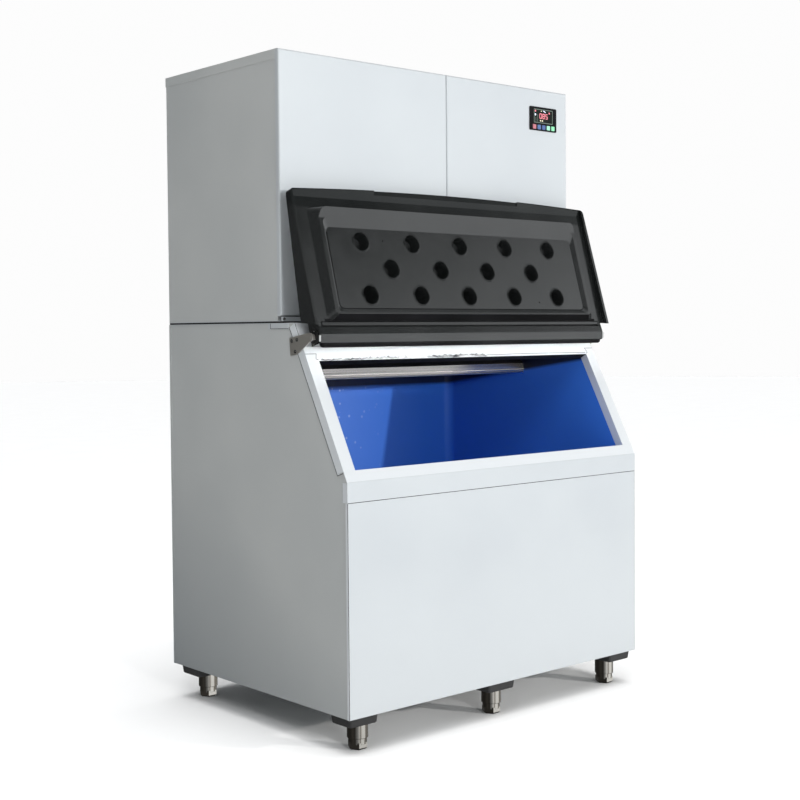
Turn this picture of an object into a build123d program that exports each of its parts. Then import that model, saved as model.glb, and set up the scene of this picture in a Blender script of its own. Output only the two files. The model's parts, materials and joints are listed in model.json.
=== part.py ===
from build123d import *

import os
from math import atan2, cos, degrees, hypot, radians, sin

# A modular cube ice machine: a freezing head on an insulated storage bin, with its bin lid open.
# Millimetres. X runs to the right, Y to the back, Z up, with the origin on the floor under the
# middle of the footprint.

# Cabinet
width = 1220.0
bin_depth = 896.0
bin_height = 1087.0
leg_height = 105.0
head_setback = 294.0
head_height = 776.0
gasket_height = 5.0
sheet = 1.5
sheet_flange = 14.0
running_gap = 0.3
seam_gap = 0.8

# Bin front, slope and mouth
sill_height = 650.5
slope_run = 228.0
sill_face_height = 55.5
front_panel_wrap = 9.0
back_panel_wrap = 12.0
sill_wrap = 20.0
rail_width = 41.5
mouth_low = 35.0
top_rail_depth = 121.5
rail_return = 27.0
rail_flange = 31.0
rail_lap = 22.0
bend_radius = 2.0

# Liner and foam
liner_wall = 4.0
liner_front_wall = 50.0
liner_rear_wall = 49.0
liner_floor_wall = 62.0
liner_corner = 28.0
lip_rise = 16.0
throat_inset = 70.0
throat_lip = 18.0
tab_length = 100.0
tab_height = 18.0
tab_setback = 29.0

# Ice deflector
deflector_gap = 15.0
deflector_height = 160.0
deflector_hem = 14.0
deflector_bend = 45.0
deflector_sheet = 2.0

# Drain
drain_bore = 21.0
drain_outer = 33.0
drain_drop = 20.0
drain_inset = 148.0
drain_nut = 22.0

# Legs
leg_plate_size = 90.0
leg_plate_height = 20.0
leg_plate_draft = 4.0
leg_inset = 65.0
leg_side_inset = 81.0
rear_leg_inset = 76.0
leg_tube_diameter = 60.0
leg_tube_height = 53.0
leg_tube_wall = 3.2
foot_flats = 50.0
foot_flats_height = 20.0
foot_insertion = 32.0
foot_edge = 5.0

# Lid and hinge. Along is measured from the hinge pin to the free edge, out from the pin
# towards the lid's inner face.
hinge_below_crest = 70.2
hinge_out = 45.5
hinge_lean = 74.5
lid_past_hinge = 3.7
lid_bow = 16.0
lid_overhang = 11.0
lid_rim_width = 10.0
lid_hinge_end = 23.0
lid_back_at_hinge = -18.0
lid_back_taper = 0.0966
lid_back_knee = 68.0
lid_back_at_knee = -16.7
rim_start = 24.0
rim_out_start = 45.6
rim_out_end = 37.8
border_out_start = 28.0
border_out_end = 26.0
free_lip = 34.0
land_out = 29.0
land_front_out = 31.0
land_end_out = 23.4
lid_corner = 14.0
hinge_land_clearance = 12.0
notch_back = 46.0
ring_low = 38.0
ring_below_tip = 47.5
ring_gap = 3.0
ring_base = 24.0
ring_crest = 47.0
ring_peak = 57.0
ring_side_slope = 1.0
ring_hinge_slope = 0.74
ring_free_slope = 0.24
panel_low = 72.0
panel_below_tip = 111.0
panel_side = 92.0
panel_out = 39.0
panel_corner = 16.0
recess_slope = 1.5
groove_low = 21.0
groove_out = 13.0
groove_side = 23.0
rib_low = 26.0
rib_high = 35.5
rib_out = 29.0
rib_end_gap = 3.0
dimple_mouth = 56.0
dimple_floor = 40.0
dimple_lip = 66.0
dimple_lip_height = 1.5
dimple_skin = 5.0
dimple_side = 121.0
dimple_low = 42.0
dimple_high = 40.0
grip_share = 0.5
grip_depth = 16.0
grip_drop = 7.0

# Hinge hardware
pin_radius = 5.0
pin_fit = 0.05
pin_length = 36.0
rivet_height = 1.5
bracket_sheet = 3.0
bracket_nose = 12.0
hinge_plate_sheet = 3.0
hinge_plate_size = 36.0
hinge_plate_shift = 2.0
screw_head = 9.0
screw_height = 2.0

# Head
panel_return = 16.0
front_corner = 5.0
front_seam = 46.0
base_sheet = 2.0
base_upstand = 14.0
cover_flange = 28.0
back_recess = 18.0
drop_gap = 10.0
drop_depth = 185.0
drop_side = 39.0
drop_collar = 12.0
louvre_length = 300.0
louvre_slot = 7.0
louvre_pitch = 24.0
louvre_count = 13

# Freezing compartment
wall_thickness = 30.0
bulkhead_thickness = 4.0
bulkhead_inset = 98.0
cell_pitch = 32.0
cells_across = 15
cells_high = 12
cell_wall = 2.0
cell_depth = 22.0
plate_back = 4.0
evaporator_low = 231.0
evaporator_standoff = 37.0
end_plate = 6.0
end_plate_reach = 45.0
coil_tube = 12.0
coil_passes = 5
distributor_diameter = 30.0
curtain_sheet = 3.0
curtain_offset = 24.0
curtain_drop = 542.0
curtain_pin = 4.0
sump_height = 101.0
sump_wall = 3.0
sump_depth = 95.0
sump_margin = 32.0
pump_shelf = 66.0
pump_diameter = 58.0

# Machine compartment
compressor_diameter = 210.0
compressor_height = 316.0
compressor_gap = 29.0
compressor_inset = 358.0
grommet_height = 13.0
condenser_width = 350.0
condenser_height = 360.0
condenser_depth = 40.0
condenser_inset = 195.0
fin_pitch = 15.0
fin_gap = 9.0
fin_groove = 15.0
shroud_depth = 36.0
shroud_wall = 3.0
fan_opening = 300.0
fan_diameter = 286.0
fan_blade_count = 5
fan_hub = 60.0
fan_blade_sheet = 2.5
fan_pitch = 28.0
fan_shaft = 4.0
motor_diameter = 90.0
motor_length = 74.0
arm_width = 20.0
line_diameter = 10.0
drier_diameter = 50.0
drier_length = 130.0
control_width = 300.0
control_height = 220.0
control_depth = 90.0
control_gap = 30.0
control_below_display = 60.0
board_margin = 20.0
board_standoff = 6.0
board_sheet = 2.0
board_post = 8.0
relay_width = 28.0
relay_height = 30.0
relay_depth = 12.0
relay_pitch = 60.0
line_rise = 70.0
line_bend = 18.0
line_end = 30.0
drier_offset = 180.0
valve_height = 700.0
valve_offset = 74.0
spigot_radius = 13.0
spigot_bore = 9.0
collar_radius = 16.0
collar_length = 2.5
valve_size = 40.0
valve_depth = 30.0
coil_radius = 15.0

# Display
display_width = 130.0
display_height = 79.0
display_inset = 119.0
display_centre_up = 678.5
bezel_proud = 3.0
bezel_wall = 1.5
bezel_body = 20.0
bezel_lap = 2.0
screen_width = 94.0
screen_height = 48.0
screen_shift = 9.5
screen_across = 1.5
screen_recess = 1.0
circuit_sheet = 1.6
key_width = 16.0
key_height = 15.0
key_pitch = 22.6
key_shift = -27.5
key_proud = 1.5
key_stroke_room = 1.5

half_width = width / 2
front = -bin_depth / 2
rear = bin_depth / 2
bin_base = leg_height
bin_top = bin_base + bin_height
slope_foot = bin_base + sill_height
slope_angle = atan2(bin_height - sill_height, slope_run)
slope_length = hypot(slope_run, bin_height - sill_height)
slope_crest = front + slope_run
head_front = front + head_setback
head_base = bin_top + gasket_height
head_top = head_base + head_height
side_face = half_width - sheet
side_inner = side_face - sheet
mouth_half = half_width - rail_width
mouth_width = 2 * mouth_half
mouth_high = slope_length - top_rail_depth
liner_half = mouth_half + liner_wall
floor_top = bin_base + liner_floor_wall
throat_width = width - 2 * throat_inset
throat_low = head_front + throat_lip
throat_high = rear - throat_inset
back_panel_face = rear - back_recess
bulkhead_face = rear - bulkhead_inset
head_floor = head_base + base_sheet
panel_bottom = head_base + base_upstand + seam_gap
chamber_top = head_top - sheet
chamber_front = head_front + panel_return + sheet
wall_right = front_seam + wall_thickness / 2
wall_left = front_seam - wall_thickness / 2
drop_centre = (wall_left - side_inner) / 2
condenser_centre = half_width - condenser_inset
display_centre_x = half_width - display_inset


def on_slope(up, out=0.0):
    """The (y, z) of a point up the slope from its foot and out from its face."""
    y = front + up * cos(slope_angle) - out * sin(slope_angle)
    z = slope_foot + up * sin(slope_angle) + out * cos(slope_angle)
    return (y, z)


def slope_plane(out=0.0):
    """The slope's face, moved out: local x across the cabinet, local y up the slope."""
    y, z = on_slope(0, out)
    normal = (0, -sin(slope_angle), cos(slope_angle))
    return Plane(origin=(0, y, z), x_dir=(1, 0, 0), z_dir=normal)


def bin_section(inset, floor, top, back):
    """Corners (y, z) of the bin's section, with its front and slope moved in."""
    up_at_front = inset * (1 - sin(slope_angle)) / cos(slope_angle)
    up_at_top = (top - slope_foot + inset * cos(slope_angle)) / sin(slope_angle)
    knee = on_slope(up_at_front, -inset)
    crest = on_slope(up_at_top, -inset)
    return [(front + inset, floor), knee, crest, (back, top), (back, floor)]


def block(x, y, z, mode=Mode.ADD):
    """A box between the low and high ends given along each axis."""
    with Locations(((x[0] + x[1]) / 2, (y[0] + y[1]) / 2, (z[0] + z[1]) / 2)):
        Box(x[1] - x[0], y[1] - y[0], z[1] - z[0], mode=mode)


def facing_front(y):
    """A plane across the cabinet at this y: local x to the right, local y up."""
    return Plane.XZ.offset(-y)


def side_panel(side, outline, inner_outline):
    """A side panel of folded sheet, with a flange turned in along its whole edge."""
    outer = side * side_face
    with BuildPart() as panel:
        with BuildSketch(Plane.YZ.offset(outer)):
            with BuildLine():
                Polyline(*outline, close=True)
            make_face()
        extrude(amount=-side * sheet_flange)
        with BuildSketch(Plane.YZ.offset(outer - side * sheet)):
            with BuildLine():
                Polyline(*inner_outline, close=True)
            make_face()
        extrude(amount=-side * sheet_flange, mode=Mode.SUBTRACT)
    return panel


def wrapped_panel(face, inward, wrap, low, high):
    """A panel across the cabinet, folded round both side edges, so U-shaped from above."""
    with BuildPart() as panel:
        with BuildSketch(Plane.XY.offset(low)):
            with Locations((0, face + inward * wrap / 2)):
                Rectangle(width, wrap)
            with Locations((0, face + inward * (wrap + sheet) / 2)):
                Rectangle(width - 2 * sheet, wrap - sheet, mode=Mode.SUBTRACT)
        extrude(amount=high - low)
        corners = panel.edges().filter_by(Axis.Z).filter_by_position(Axis.Y, face - 0.1, face + 0.1)
        fillet(corners, radius=bend_radius)
    return panel


def save(builder, name):
    """Labels a finished piece and writes it as its own file."""
    builder.part.label = name
    export_step(builder.part, "parts/" + name + ".step")


os.makedirs("parts", exist_ok=True)

# Bin side panels
bin_outline = bin_section(sheet, bin_base + sheet, bin_top - sheet, rear - sheet)
bin_flange_line = bin_section(2 * sheet, bin_base + 2 * sheet, bin_top - 2 * sheet, rear - 2 * sheet)
for side, name in ((-1, "bin_side_left"), (1, "bin_side_right")):
    bin_side = side_panel(side, bin_outline, bin_flange_line)
    save(bin_side, name)

# Bin front panel, back panel and bottom panel
seam_height = slope_foot - sill_face_height
bin_front = wrapped_panel(front, 1, front_panel_wrap, bin_base, seam_height - seam_gap)
save(bin_front, "bin_front_panel")

bin_back = wrapped_panel(rear, -1, back_panel_wrap, bin_base, bin_top)
save(bin_back, "bin_back_panel")

drain_y = rear - drain_inset
with BuildPart() as bin_bottom:
    block((-side_face, side_face), (front + sheet, rear - sheet), (bin_base, bin_base + sheet))
    with Locations((0, drain_y, bin_base)):
        Cylinder(drain_outer / 2, 4 * sheet, mode=Mode.SUBTRACT)
save(bin_bottom, "bin_bottom_panel")

# Front sill: front strip, bend over the slope's foot and return into the mouth
with BuildPart() as sill:
    with BuildSketch(Plane.YZ.offset(-half_width)):
        with BuildLine():
            Polyline(
                (front, seam_height),
                (front, slope_foot),
                on_slope(mouth_low),
                on_slope(mouth_low, -rail_return),
                on_slope(mouth_low - sheet, -rail_return),
                on_slope(mouth_low - sheet, -sheet),
                bin_outline[1],
                (front + sheet, seam_height),
                close=True,
            )
        make_face()
    extrude(amount=width)
    for side in (-1, 1):
        edge = side * half_width
        low_x, high_x = sorted((edge, edge - side * sheet))
        block((low_x, high_x), (front, front + sill_wrap), (seam_height, slope_foot - seam_gap))
        return_x = sorted((edge, side * mouth_half))
        with BuildSketch(slope_plane(-sheet)):
            with Locations((sum(return_x) / 2, mouth_low)):
                Rectangle(return_x[1] - return_x[0], 4 * sheet)
        extrude(amount=-rail_return, mode=Mode.SUBTRACT)
save(sill, "bin_front_sill")

# Slope rails beside the mouth: flat face, outer flange on the side panel, return into the mouth
rail_end = mouth_high + rail_lap
for side, name in ((-1, "slope_rail_left"), (1, "slope_rail_right")):
    with BuildPart() as rail:
        with BuildSketch(slope_plane()):
            with Locations((side * (half_width + mouth_half) / 2, (mouth_low + rail_end) / 2)):
                Rectangle(half_width - mouth_half, rail_end - mouth_low)
        extrude(amount=-sheet)
        with BuildSketch(slope_plane()):
            with Locations((side * (half_width - sheet / 2), (mouth_low + rail_end) / 2)):
                Rectangle(sheet, rail_end - mouth_low)
        extrude(amount=-rail_flange)
        with BuildSketch(slope_plane()):
            with Locations((side * (mouth_half + sheet / 2), (mouth_low + rail_end) / 2)):
                Rectangle(sheet, rail_end - mouth_low)
        extrude(amount=-rail_return)
    save(rail, name)

# Top rail of the slope, with a tongue between the side rails and flanges on the side panels
with BuildPart() as top_rail:
    with BuildSketch(slope_plane()):
        with Locations((0, (rail_end + slope_length) / 2)):
            Rectangle(width, slope_length - rail_end)
        with Locations((0, (mouth_high + slope_length) / 2)):
            Rectangle(mouth_width, slope_length - mouth_high)
    extrude(amount=-sheet)
    with BuildSketch(slope_plane()):
        with Locations((0, mouth_high + sheet / 2)):
            Rectangle(mouth_width, sheet)
    extrude(amount=-rail_return)
    for side in (-1, 1):
        with BuildSketch(slope_plane()):
            with Locations((side * (half_width - sheet / 2), (rail_end + slope_length) / 2)):
                Rectangle(sheet, slope_length - rail_end)
        extrude(amount=-rail_flange)
    block((-width, width), (front, rear), (bin_top - sheet, bin_top + rail_flange), mode=Mode.SUBTRACT)
save(top_rail, "slope_top_rail")

# Top frame of the bin, with the throat under the head and a locating tab on each side
with BuildPart() as top_frame:
    frame_y = (slope_crest + sheet, rear - sheet)
    block((-side_face, side_face), frame_y, (bin_top - sheet, bin_top))
    block((-half_width, half_width), (frame_y[0], rear - back_panel_wrap), (bin_top - sheet, bin_top))
    throat_y = (throat_low, throat_high)
    block((-throat_width / 2, throat_width / 2), throat_y, (bin_base, head_top), mode=Mode.SUBTRACT)
    for side in (-1, 1):
        tab_x = sorted((side * half_width, side * side_face))
        tab_y = (slope_crest + tab_setback, slope_crest + tab_setback + tab_length)
        block(tab_x, tab_y, (bin_top - tab_height, bin_top - sheet))
save(top_frame, "bin_top_frame")

# Liner: a moulded tub whose side walls run flush with the mouth's returns
liner_low = bin_base + liner_floor_wall - liner_wall
liner_back = rear - liner_rear_wall + liner_wall
liner_top = bin_top - sheet
outer_tub = bin_section(liner_front_wall - liner_wall, liner_low, liner_top, liner_back)
inner_tub = bin_section(liner_front_wall, floor_top, bin_top + sheet, liner_back - liner_wall)
lip_outer = [
    on_slope(mouth_low - liner_wall, -rail_return),
    on_slope(mouth_high + liner_wall, -rail_return),
    on_slope(mouth_high + lip_rise + liner_wall, -liner_front_wall),
    on_slope(mouth_low - liner_wall, -liner_front_wall),
]
lip_inner = [
    on_slope(mouth_low, 0),
    on_slope(mouth_high, 0),
    on_slope(mouth_high, -rail_return),
    on_slope(mouth_high + lip_rise, -liner_front_wall - liner_wall),
    on_slope(mouth_low, -liner_front_wall - liner_wall),
]
with BuildPart() as liner:
    with BuildSketch(Plane.YZ.offset(-liner_half)):
        for outline in (outer_tub, lip_outer):
            with BuildLine():
                Polyline(*outline, close=True)
            make_face()
    extrude(amount=2 * liner_half)
    with BuildSketch(Plane.YZ.offset(-mouth_half)):
        for outline in (inner_tub, lip_inner):
            with BuildLine():
                Polyline(*outline, close=True)
            make_face()
    extrude(amount=mouth_width, mode=Mode.SUBTRACT)
    inside_corners = (
        liner.edges()
        .filter_by(Axis.Z)
        .filter_by_position(Axis.Y, liner_back - liner_wall - 1, liner_back - liner_wall + 1)
        .filter_by_position(Axis.X, -mouth_half - 1, mouth_half + 1)
    )
    fillet(inside_corners, radius=liner_corner)
    with Locations((0, drain_y, floor_top)):
        Cylinder(drain_outer / 2, 4 * liner_wall, mode=Mode.SUBTRACT)
save(liner, "bin_liner")

# Foam between the liner and the sheet skins
foam_outline = bin_section(2 * sheet, bin_base + 2 * sheet, bin_top - 2 * sheet, rear - 2 * sheet)
lip_hole = [
    on_slope(mouth_low - liner_wall, sheet),
    on_slope(mouth_high + liner_wall, sheet),
    on_slope(mouth_high + liner_wall, -rail_return),
    on_slope(mouth_high + lip_rise + liner_wall, -liner_front_wall),
    on_slope(mouth_high + lip_rise + liner_wall, -liner_front_wall - liner_wall),
    on_slope(mouth_low - liner_wall, -liner_front_wall - liner_wall),
]
tub_hole = bin_section(liner_front_wall - liner_wall, liner_low, bin_top, liner_back)
with BuildPart() as foam:
    with BuildSketch(Plane.YZ.offset(-side_inner)):
        with BuildLine():
            Polyline(*foam_outline, close=True)
        make_face()
    extrude(amount=2 * side_inner)
    with BuildSketch(Plane.YZ.offset(-liner_half)):
        for outline in (tub_hole, lip_hole):
            with BuildLine():
                Polyline(*outline, close=True)
            make_face()
    extrude(amount=2 * liner_half, mode=Mode.SUBTRACT)
    with BuildSketch(slope_plane()):
        with Locations((0, (mouth_low + rail_end) / 2)):
            Rectangle(2 * liner_half, rail_end - mouth_low + 2 * sheet)
    extrude(amount=-rail_return - sheet, mode=Mode.SUBTRACT)
    with Locations((0, drain_y, bin_base + liner_floor_wall / 2)):
        Cylinder(drain_outer / 2, liner_floor_wall, mode=Mode.SUBTRACT)
save(foam, "bin_insulation")

# Ice deflector: a folded plate hung between the liner's side walls below the throat
drop_high = bulkhead_face - sump_depth - drop_gap
drop_low = drop_high - drop_depth
deflector_y = drop_low - deflector_gap
deflector_top = bin_top - 2 * sheet
deflector_low = deflector_top - deflector_height
deflector_half = mouth_half - deflector_sheet
with BuildPart() as deflector:
    with BuildSketch(Plane.YZ.offset(-mouth_half + deflector_sheet)):
        with BuildLine():
            Polyline(
                (deflector_y, deflector_top),
                (deflector_y, deflector_low + deflector_bend),
                (deflector_y - deflector_bend / 2, deflector_low),
                (deflector_y - deflector_bend / 2 - deflector_hem, deflector_low),
                (deflector_y - deflector_bend / 2 - deflector_hem, deflector_low + deflector_sheet),
                (deflector_y - deflector_bend / 2 - deflector_sheet, deflector_low + deflector_sheet),
                (deflector_y - deflector_sheet, deflector_low + deflector_bend),
                (deflector_y - deflector_sheet, deflector_top),
                close=True,
            )
        make_face()
    extrude(amount=2 * deflector_half)
    for side in (-1, 1):
        flange_x = sorted((side * mouth_half, side * deflector_half))
        flange_y = (deflector_y - deflector_bend, deflector_y)
        block(flange_x, flange_y, (deflector_low + deflector_bend, deflector_top))
save(deflector, "ice_deflector")

# Drain fitting through the liner floor, the foam and the bottom panel
with BuildPart() as drain:
    with BuildSketch(Plane.XY.offset(bin_base - drain_drop)):
        with Locations((0, drain_y)):
            Circle(drain_outer / 2)
            Circle(drain_bore / 2, mode=Mode.SUBTRACT)
    extrude(amount=floor_top - bin_base + drain_drop)
    with BuildSketch(Plane.XY.offset(bin_base - drain_drop / 2)):
        with Locations((0, drain_y)):
            RegularPolygon(drain_nut, 6)
            Circle(drain_outer / 2, mode=Mode.SUBTRACT)
    extrude(amount=drain_drop / 2)
save(drain, "bin_drain")

# Legs: moulded plates, round sockets and adjustable feet
leg_x = half_width - leg_side_inset
front_leg_y = front + leg_inset
rear_leg_y = rear - rear_leg_inset
leg_spots = {
    "front_left": (-leg_x, front_leg_y),
    "front_middle": (0, front_leg_y),
    "front_right": (leg_x, front_leg_y),
    "rear_left": (-leg_x, rear_leg_y),
    "rear_middle": (0, rear_leg_y),
    "rear_right": (leg_x, rear_leg_y),
}
tube_top = leg_height - leg_plate_height
tube_bottom = tube_top - leg_tube_height
tube_radius = leg_tube_diameter / 2
socket_radius = tube_radius - leg_tube_wall
foot_radius = socket_radius - running_gap

with BuildPart() as leg_plates:
    with BuildSketch(Plane.XY.offset(leg_height)):
        with Locations(*leg_spots.values()):
            RectangleRounded(leg_plate_size, leg_plate_size, leg_plate_draft)
    extrude(amount=-leg_plate_height, taper=degrees(atan2(leg_plate_draft / 2, leg_plate_height)))
save(leg_plates, "leg_plates")

with BuildPart() as leg_tubes:
    with BuildSketch(Plane.XY.offset(tube_bottom)):
        with Locations(*leg_spots.values()):
            Circle(tube_radius)
    extrude(amount=leg_tube_height)
    fillet(leg_tubes.faces().group_by(Axis.Z)[0].edges(), radius=leg_tube_wall / 2)
    with BuildSketch(Plane.XY.offset(tube_bottom)):
        with Locations(*leg_spots.values()):
            Circle(socket_radius)
    extrude(amount=leg_tube_height - leg_tube_wall, mode=Mode.SUBTRACT)
save(leg_tubes, "leg_tubes")

for place, (foot_x, foot_y) in leg_spots.items():
    with BuildPart() as foot:
        with BuildSketch(Plane.XY.offset(0)):
            with Locations((foot_x, foot_y)):
                RegularPolygon(foot_flats / 2, 6, major_radius=False)
        extrude(amount=foot_flats_height)
        chamfer(foot.faces().sort_by(Axis.Z)[0].edges(), length=foot_edge)
        with BuildSketch(Plane.XY.offset(foot_flats_height - foot_edge)):
            with Locations((foot_x, foot_y)):
                Circle(foot_radius)
        extrude(amount=tube_bottom + foot_insertion - foot_flats_height + foot_edge)
    save(foot, "foot_" + place)

# Lid, drawn standing open from its hinge pins
pivot_y, pivot_z = on_slope(slope_length - hinge_below_crest, hinge_out)
lean = radians(hinge_lean)
lid_along = (0, cos(lean), sin(lean))
lid_outward = (0, -sin(lean), cos(lean))


def lid_side_plane(x=0.0):
    """Section of the lid at this x: local x along the lid, local y out from the pin."""
    return Plane(origin=(x, pivot_y, pivot_z), x_dir=lid_along, z_dir=(1, 0, 0))


def lid_face_plane(out=0.0, along=0.0, tilt=0.0):
    """Across the lid: local x to the right, local y along the lid, moved out."""
    y = pivot_y + out * lid_outward[1] + along * lid_along[1]
    z = pivot_z + out * lid_outward[2] + along * lid_along[2]
    turned = lean + radians(tilt)
    normal = (0, -sin(turned), cos(turned))
    return Plane(origin=(0, y, z), x_dir=(1, 0, 0), z_dir=normal)


def lid_span(x, along, out):
    """A box in the lid's own frame, between low and high ends."""
    with BuildPart() as span:
        with BuildSketch(lid_face_plane(out[0])):
            with Locations(((x[0] + x[1]) / 2, (along[0] + along[1]) / 2)):
                Rectangle(x[1] - x[0], along[1] - along[0])
        extrude(amount=out[1] - out[0])
    return span.part


lid_half = half_width + lid_overhang
lid_length = slope_length - hinge_below_crest + lid_past_hinge
ring_high = lid_length - ring_below_tip
panel_high = lid_length - panel_below_tip
lid_tip = lid_length + lid_bow
hinge_block_half = half_width - hinge_land_clearance
back_at_tip = lid_back_at_knee + (lid_tip - lid_back_knee) * lid_back_taper
rim_slope = (rim_out_end - rim_out_start) / (lid_length - rim_start)
rim_at_tip = rim_out_end + rim_slope * lid_bow
lid_deep = 60.0


def lid_planform(inset, low, corner):
    """Outline of the lid seen on its face, moved in at its sides, with the bowed free edge."""
    half = lid_half - inset
    end = lid_length
    with BuildSketch(lid_face_plane(-lid_deep)) as plan:
        with BuildLine():
            ThreePointArc((-half, end), (0, end + lid_bow), (half, end))
            Polyline((half, end), (half, low), (-half, low), (-half, end))
        make_face()
        tips = plan.vertices().group_by(Axis.Z)[-1]
        fillet(tips, radius=corner)
    return plan.sketch


with BuildPart() as lid_pocket:
    with BuildSketch(lid_side_plane(-lid_half)):
        with BuildLine():
            Polyline(
                (rim_start, border_out_start),
                (lid_tip - free_lip, border_out_end),
                (lid_tip, rim_at_tip),
                (lid_tip, lid_deep),
                (rim_start, lid_deep),
                close=True,
            )
        make_face()
    extrude(amount=2 * lid_half)
    extrude(lid_planform(lid_rim_width, 0, lid_corner / 2), amount=2 * lid_deep, mode=Mode.INTERSECT)

ring_half = mouth_half - ring_gap
ring_rise = ring_peak - ring_base
peak_along = ring_high - ring_free_slope * ring_rise
bevel_slope = (peak_along - panel_high) / (ring_peak - panel_out)
recess_rise = lid_deep - panel_out


def lid_rectangle(out, half, low, high):
    """A rounded rectangle across the lid at this height, for a loft."""
    with BuildSketch(lid_face_plane(out)) as rectangle:
        with Locations((0, (low + high) / 2)):
            RectangleRounded(2 * half, high - low, panel_corner)
    return rectangle.sketch


with BuildPart() as lid_ring:
    ring_foot = lid_rectangle(ring_base, ring_half, ring_low, ring_high)
    top_half = ring_half - ring_side_slope * ring_rise
    ring_top = lid_rectangle(ring_peak, top_half, ring_low + ring_hinge_slope * ring_rise, peak_along)
    loft([ring_foot, ring_top], ruled=True)
    with BuildSketch(lid_side_plane(-lid_half)):
        with BuildLine():
            Polyline(
                (0, ring_crest),
                (panel_high + bevel_slope * (ring_crest - panel_out), ring_crest),
                (peak_along, ring_peak),
                (peak_along, 2 * ring_peak),
                (0, 2 * ring_peak),
                close=True,
            )
        make_face()
    extrude(amount=2 * lid_half, mode=Mode.SUBTRACT)
    panel_half = half_width - panel_side
    panel_floor = lid_rectangle(panel_out, panel_half, panel_low, panel_high)
    widening = recess_slope * recess_rise
    bevel_end = panel_high + bevel_slope * recess_rise
    recess_top = lid_rectangle(lid_deep, panel_half + widening, panel_low - widening, bevel_end)
    loft([panel_floor, recess_top], ruled=True, mode=Mode.SUBTRACT)

with BuildPart() as lid:
    with BuildSketch(lid_side_plane(-lid_half)):
        with BuildLine():
            Polyline(
                (-lid_hinge_end, lid_back_at_hinge),
                (lid_back_knee, lid_back_at_knee),
                (lid_tip, back_at_tip),
                (lid_tip, rim_at_tip),
                (rim_start, rim_out_start),
                (rim_start, land_out),
                (0, land_front_out),
                (-lid_hinge_end, land_end_out),
                close=True,
            )
        make_face()
    extrude(amount=2 * lid_half)
    extrude(lid_planform(0, -lid_hinge_end, lid_corner), amount=3 * lid_deep, mode=Mode.INTERSECT)
    for side in (-1, 1):
        with BuildSketch(lid_side_plane(side * hinge_block_half)):
            with BuildLine():
                Polyline(
                    (-lid_deep, -lid_deep),
                    (notch_back, -lid_deep),
                    (notch_back, lid_back_at_knee),
                    (rim_start, rim_out_start),
                    (rim_start, lid_deep),
                    (-lid_deep, lid_deep),
                    close=True,
                )
            make_face()
        extrude(amount=side * lid_half, mode=Mode.SUBTRACT)
    add(lid_pocket.part, mode=Mode.SUBTRACT)
    groove_half = half_width - groove_side
    rib_half = groove_half - rib_end_gap
    groove_along = (groove_low, ring_low)
    groove = lid_span((-groove_half, groove_half), groove_along, (groove_out, lid_deep))
    add(groove, mode=Mode.SUBTRACT)
    add(lid_span((-rib_half, rib_half), (rib_low, rib_high), (0, rib_out)))
    add(lid_ring.part)
    dimple_spots = []
    dimple_pitch = (panel_half - dimple_side) / 2
    row_pitch = (panel_high - dimple_high - panel_low - dimple_low) / 2
    for row in range(3):
        along = panel_low + dimple_low + row * row_pitch
        across = 5 - row % 2
        first = -dimple_pitch * (across - 1) / 2
        for column in range(across):
            dimple_spots.append((first + column * dimple_pitch, along))
    with BuildSketch(lid_face_plane(panel_out)):
        with Locations(*dimple_spots):
            Circle(dimple_lip / 2)
    extrude(amount=dimple_lip_height, taper=45)
    for x, along in dimple_spots:
        back_here = lid_back_at_knee + (along - lid_back_knee) * lid_back_taper
        with BuildSketch(lid_face_plane(panel_out + dimple_lip_height)):
            with Locations((x, along)):
                Circle(dimple_mouth / 2)
        with BuildSketch(lid_face_plane(back_here + dimple_skin)):
            with Locations((x, along)):
                Circle(dimple_floor / 2)
        loft(mode=Mode.SUBTRACT)
    grip_half = grip_share * half_width
    grip_top = (lid_tip - grip_depth, lid_tip + lid_bow)
    grip_out = (rim_at_tip - grip_drop, lid_deep)
    add(lid_span((-grip_half, grip_half), grip_top, grip_out), mode=Mode.SUBTRACT)
    for side in (-1, 1):
        with BuildSketch(Plane.YZ.offset(side * hinge_block_half)):
            with Locations((pivot_y, pivot_z)):
                Circle(pin_radius + pin_fit)
        extrude(amount=-side * pin_length, mode=Mode.SUBTRACT)
save(lid, "lid")

# Hinge plates screwed to the ends of the lid
with BuildPart() as hinge_plates:
    for side in (-1, 1):
        with BuildSketch(lid_side_plane(side * hinge_block_half)):
            with Locations((0, hinge_plate_shift)):
                RectangleRounded(hinge_plate_size, hinge_plate_size, bracket_nose)
            Circle(pin_radius + pin_fit, mode=Mode.SUBTRACT)
        extrude(amount=side * hinge_plate_sheet)
save(hinge_plates, "lid_hinge_plates")

# Hinge brackets with their riveted pins
bracket_outline = [
    (96.0, -2.2),
    (91.5, -52.6),
    (64.5, -49.2),
    (49.6, -41.8),
    (-7.8, -7.2),
    (3.7, 12.8),
]
bracket_screws = [(84.0, -10.3), (60.2, -6.8), (68.9, -40.3)]
for side, name in ((-1, "hinge_bracket_left"), (1, "hinge_bracket_right")):
    with BuildPart() as bracket:
        with BuildSketch(Plane.YZ.offset(side * half_width)):
            with BuildLine():
                Polyline(*[(pivot_y + y, pivot_z + z) for y, z in bracket_outline], close=True)
            make_face()
            with Locations((pivot_y, pivot_z)):
                Circle(bracket_nose)
        extrude(amount=side * bracket_sheet)
        pin_start = side * (half_width + bracket_sheet + rivet_height)
        with BuildSketch(Plane.YZ.offset(pin_start)):
            with Locations((pivot_y, pivot_z)):
                Circle(pin_radius)
        pin_end = hinge_block_half - pin_length + 2
        extrude(amount=side * pin_end - pin_start)
        with BuildSketch(Plane.YZ.offset(side * half_width)):
            with Locations((pivot_y, pivot_z)):
                Circle(bracket_nose - 3)
        bush_end = hinge_block_half + hinge_plate_sheet + running_gap
        extrude(amount=side * (bush_end - half_width))
    save(bracket, name)

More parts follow.
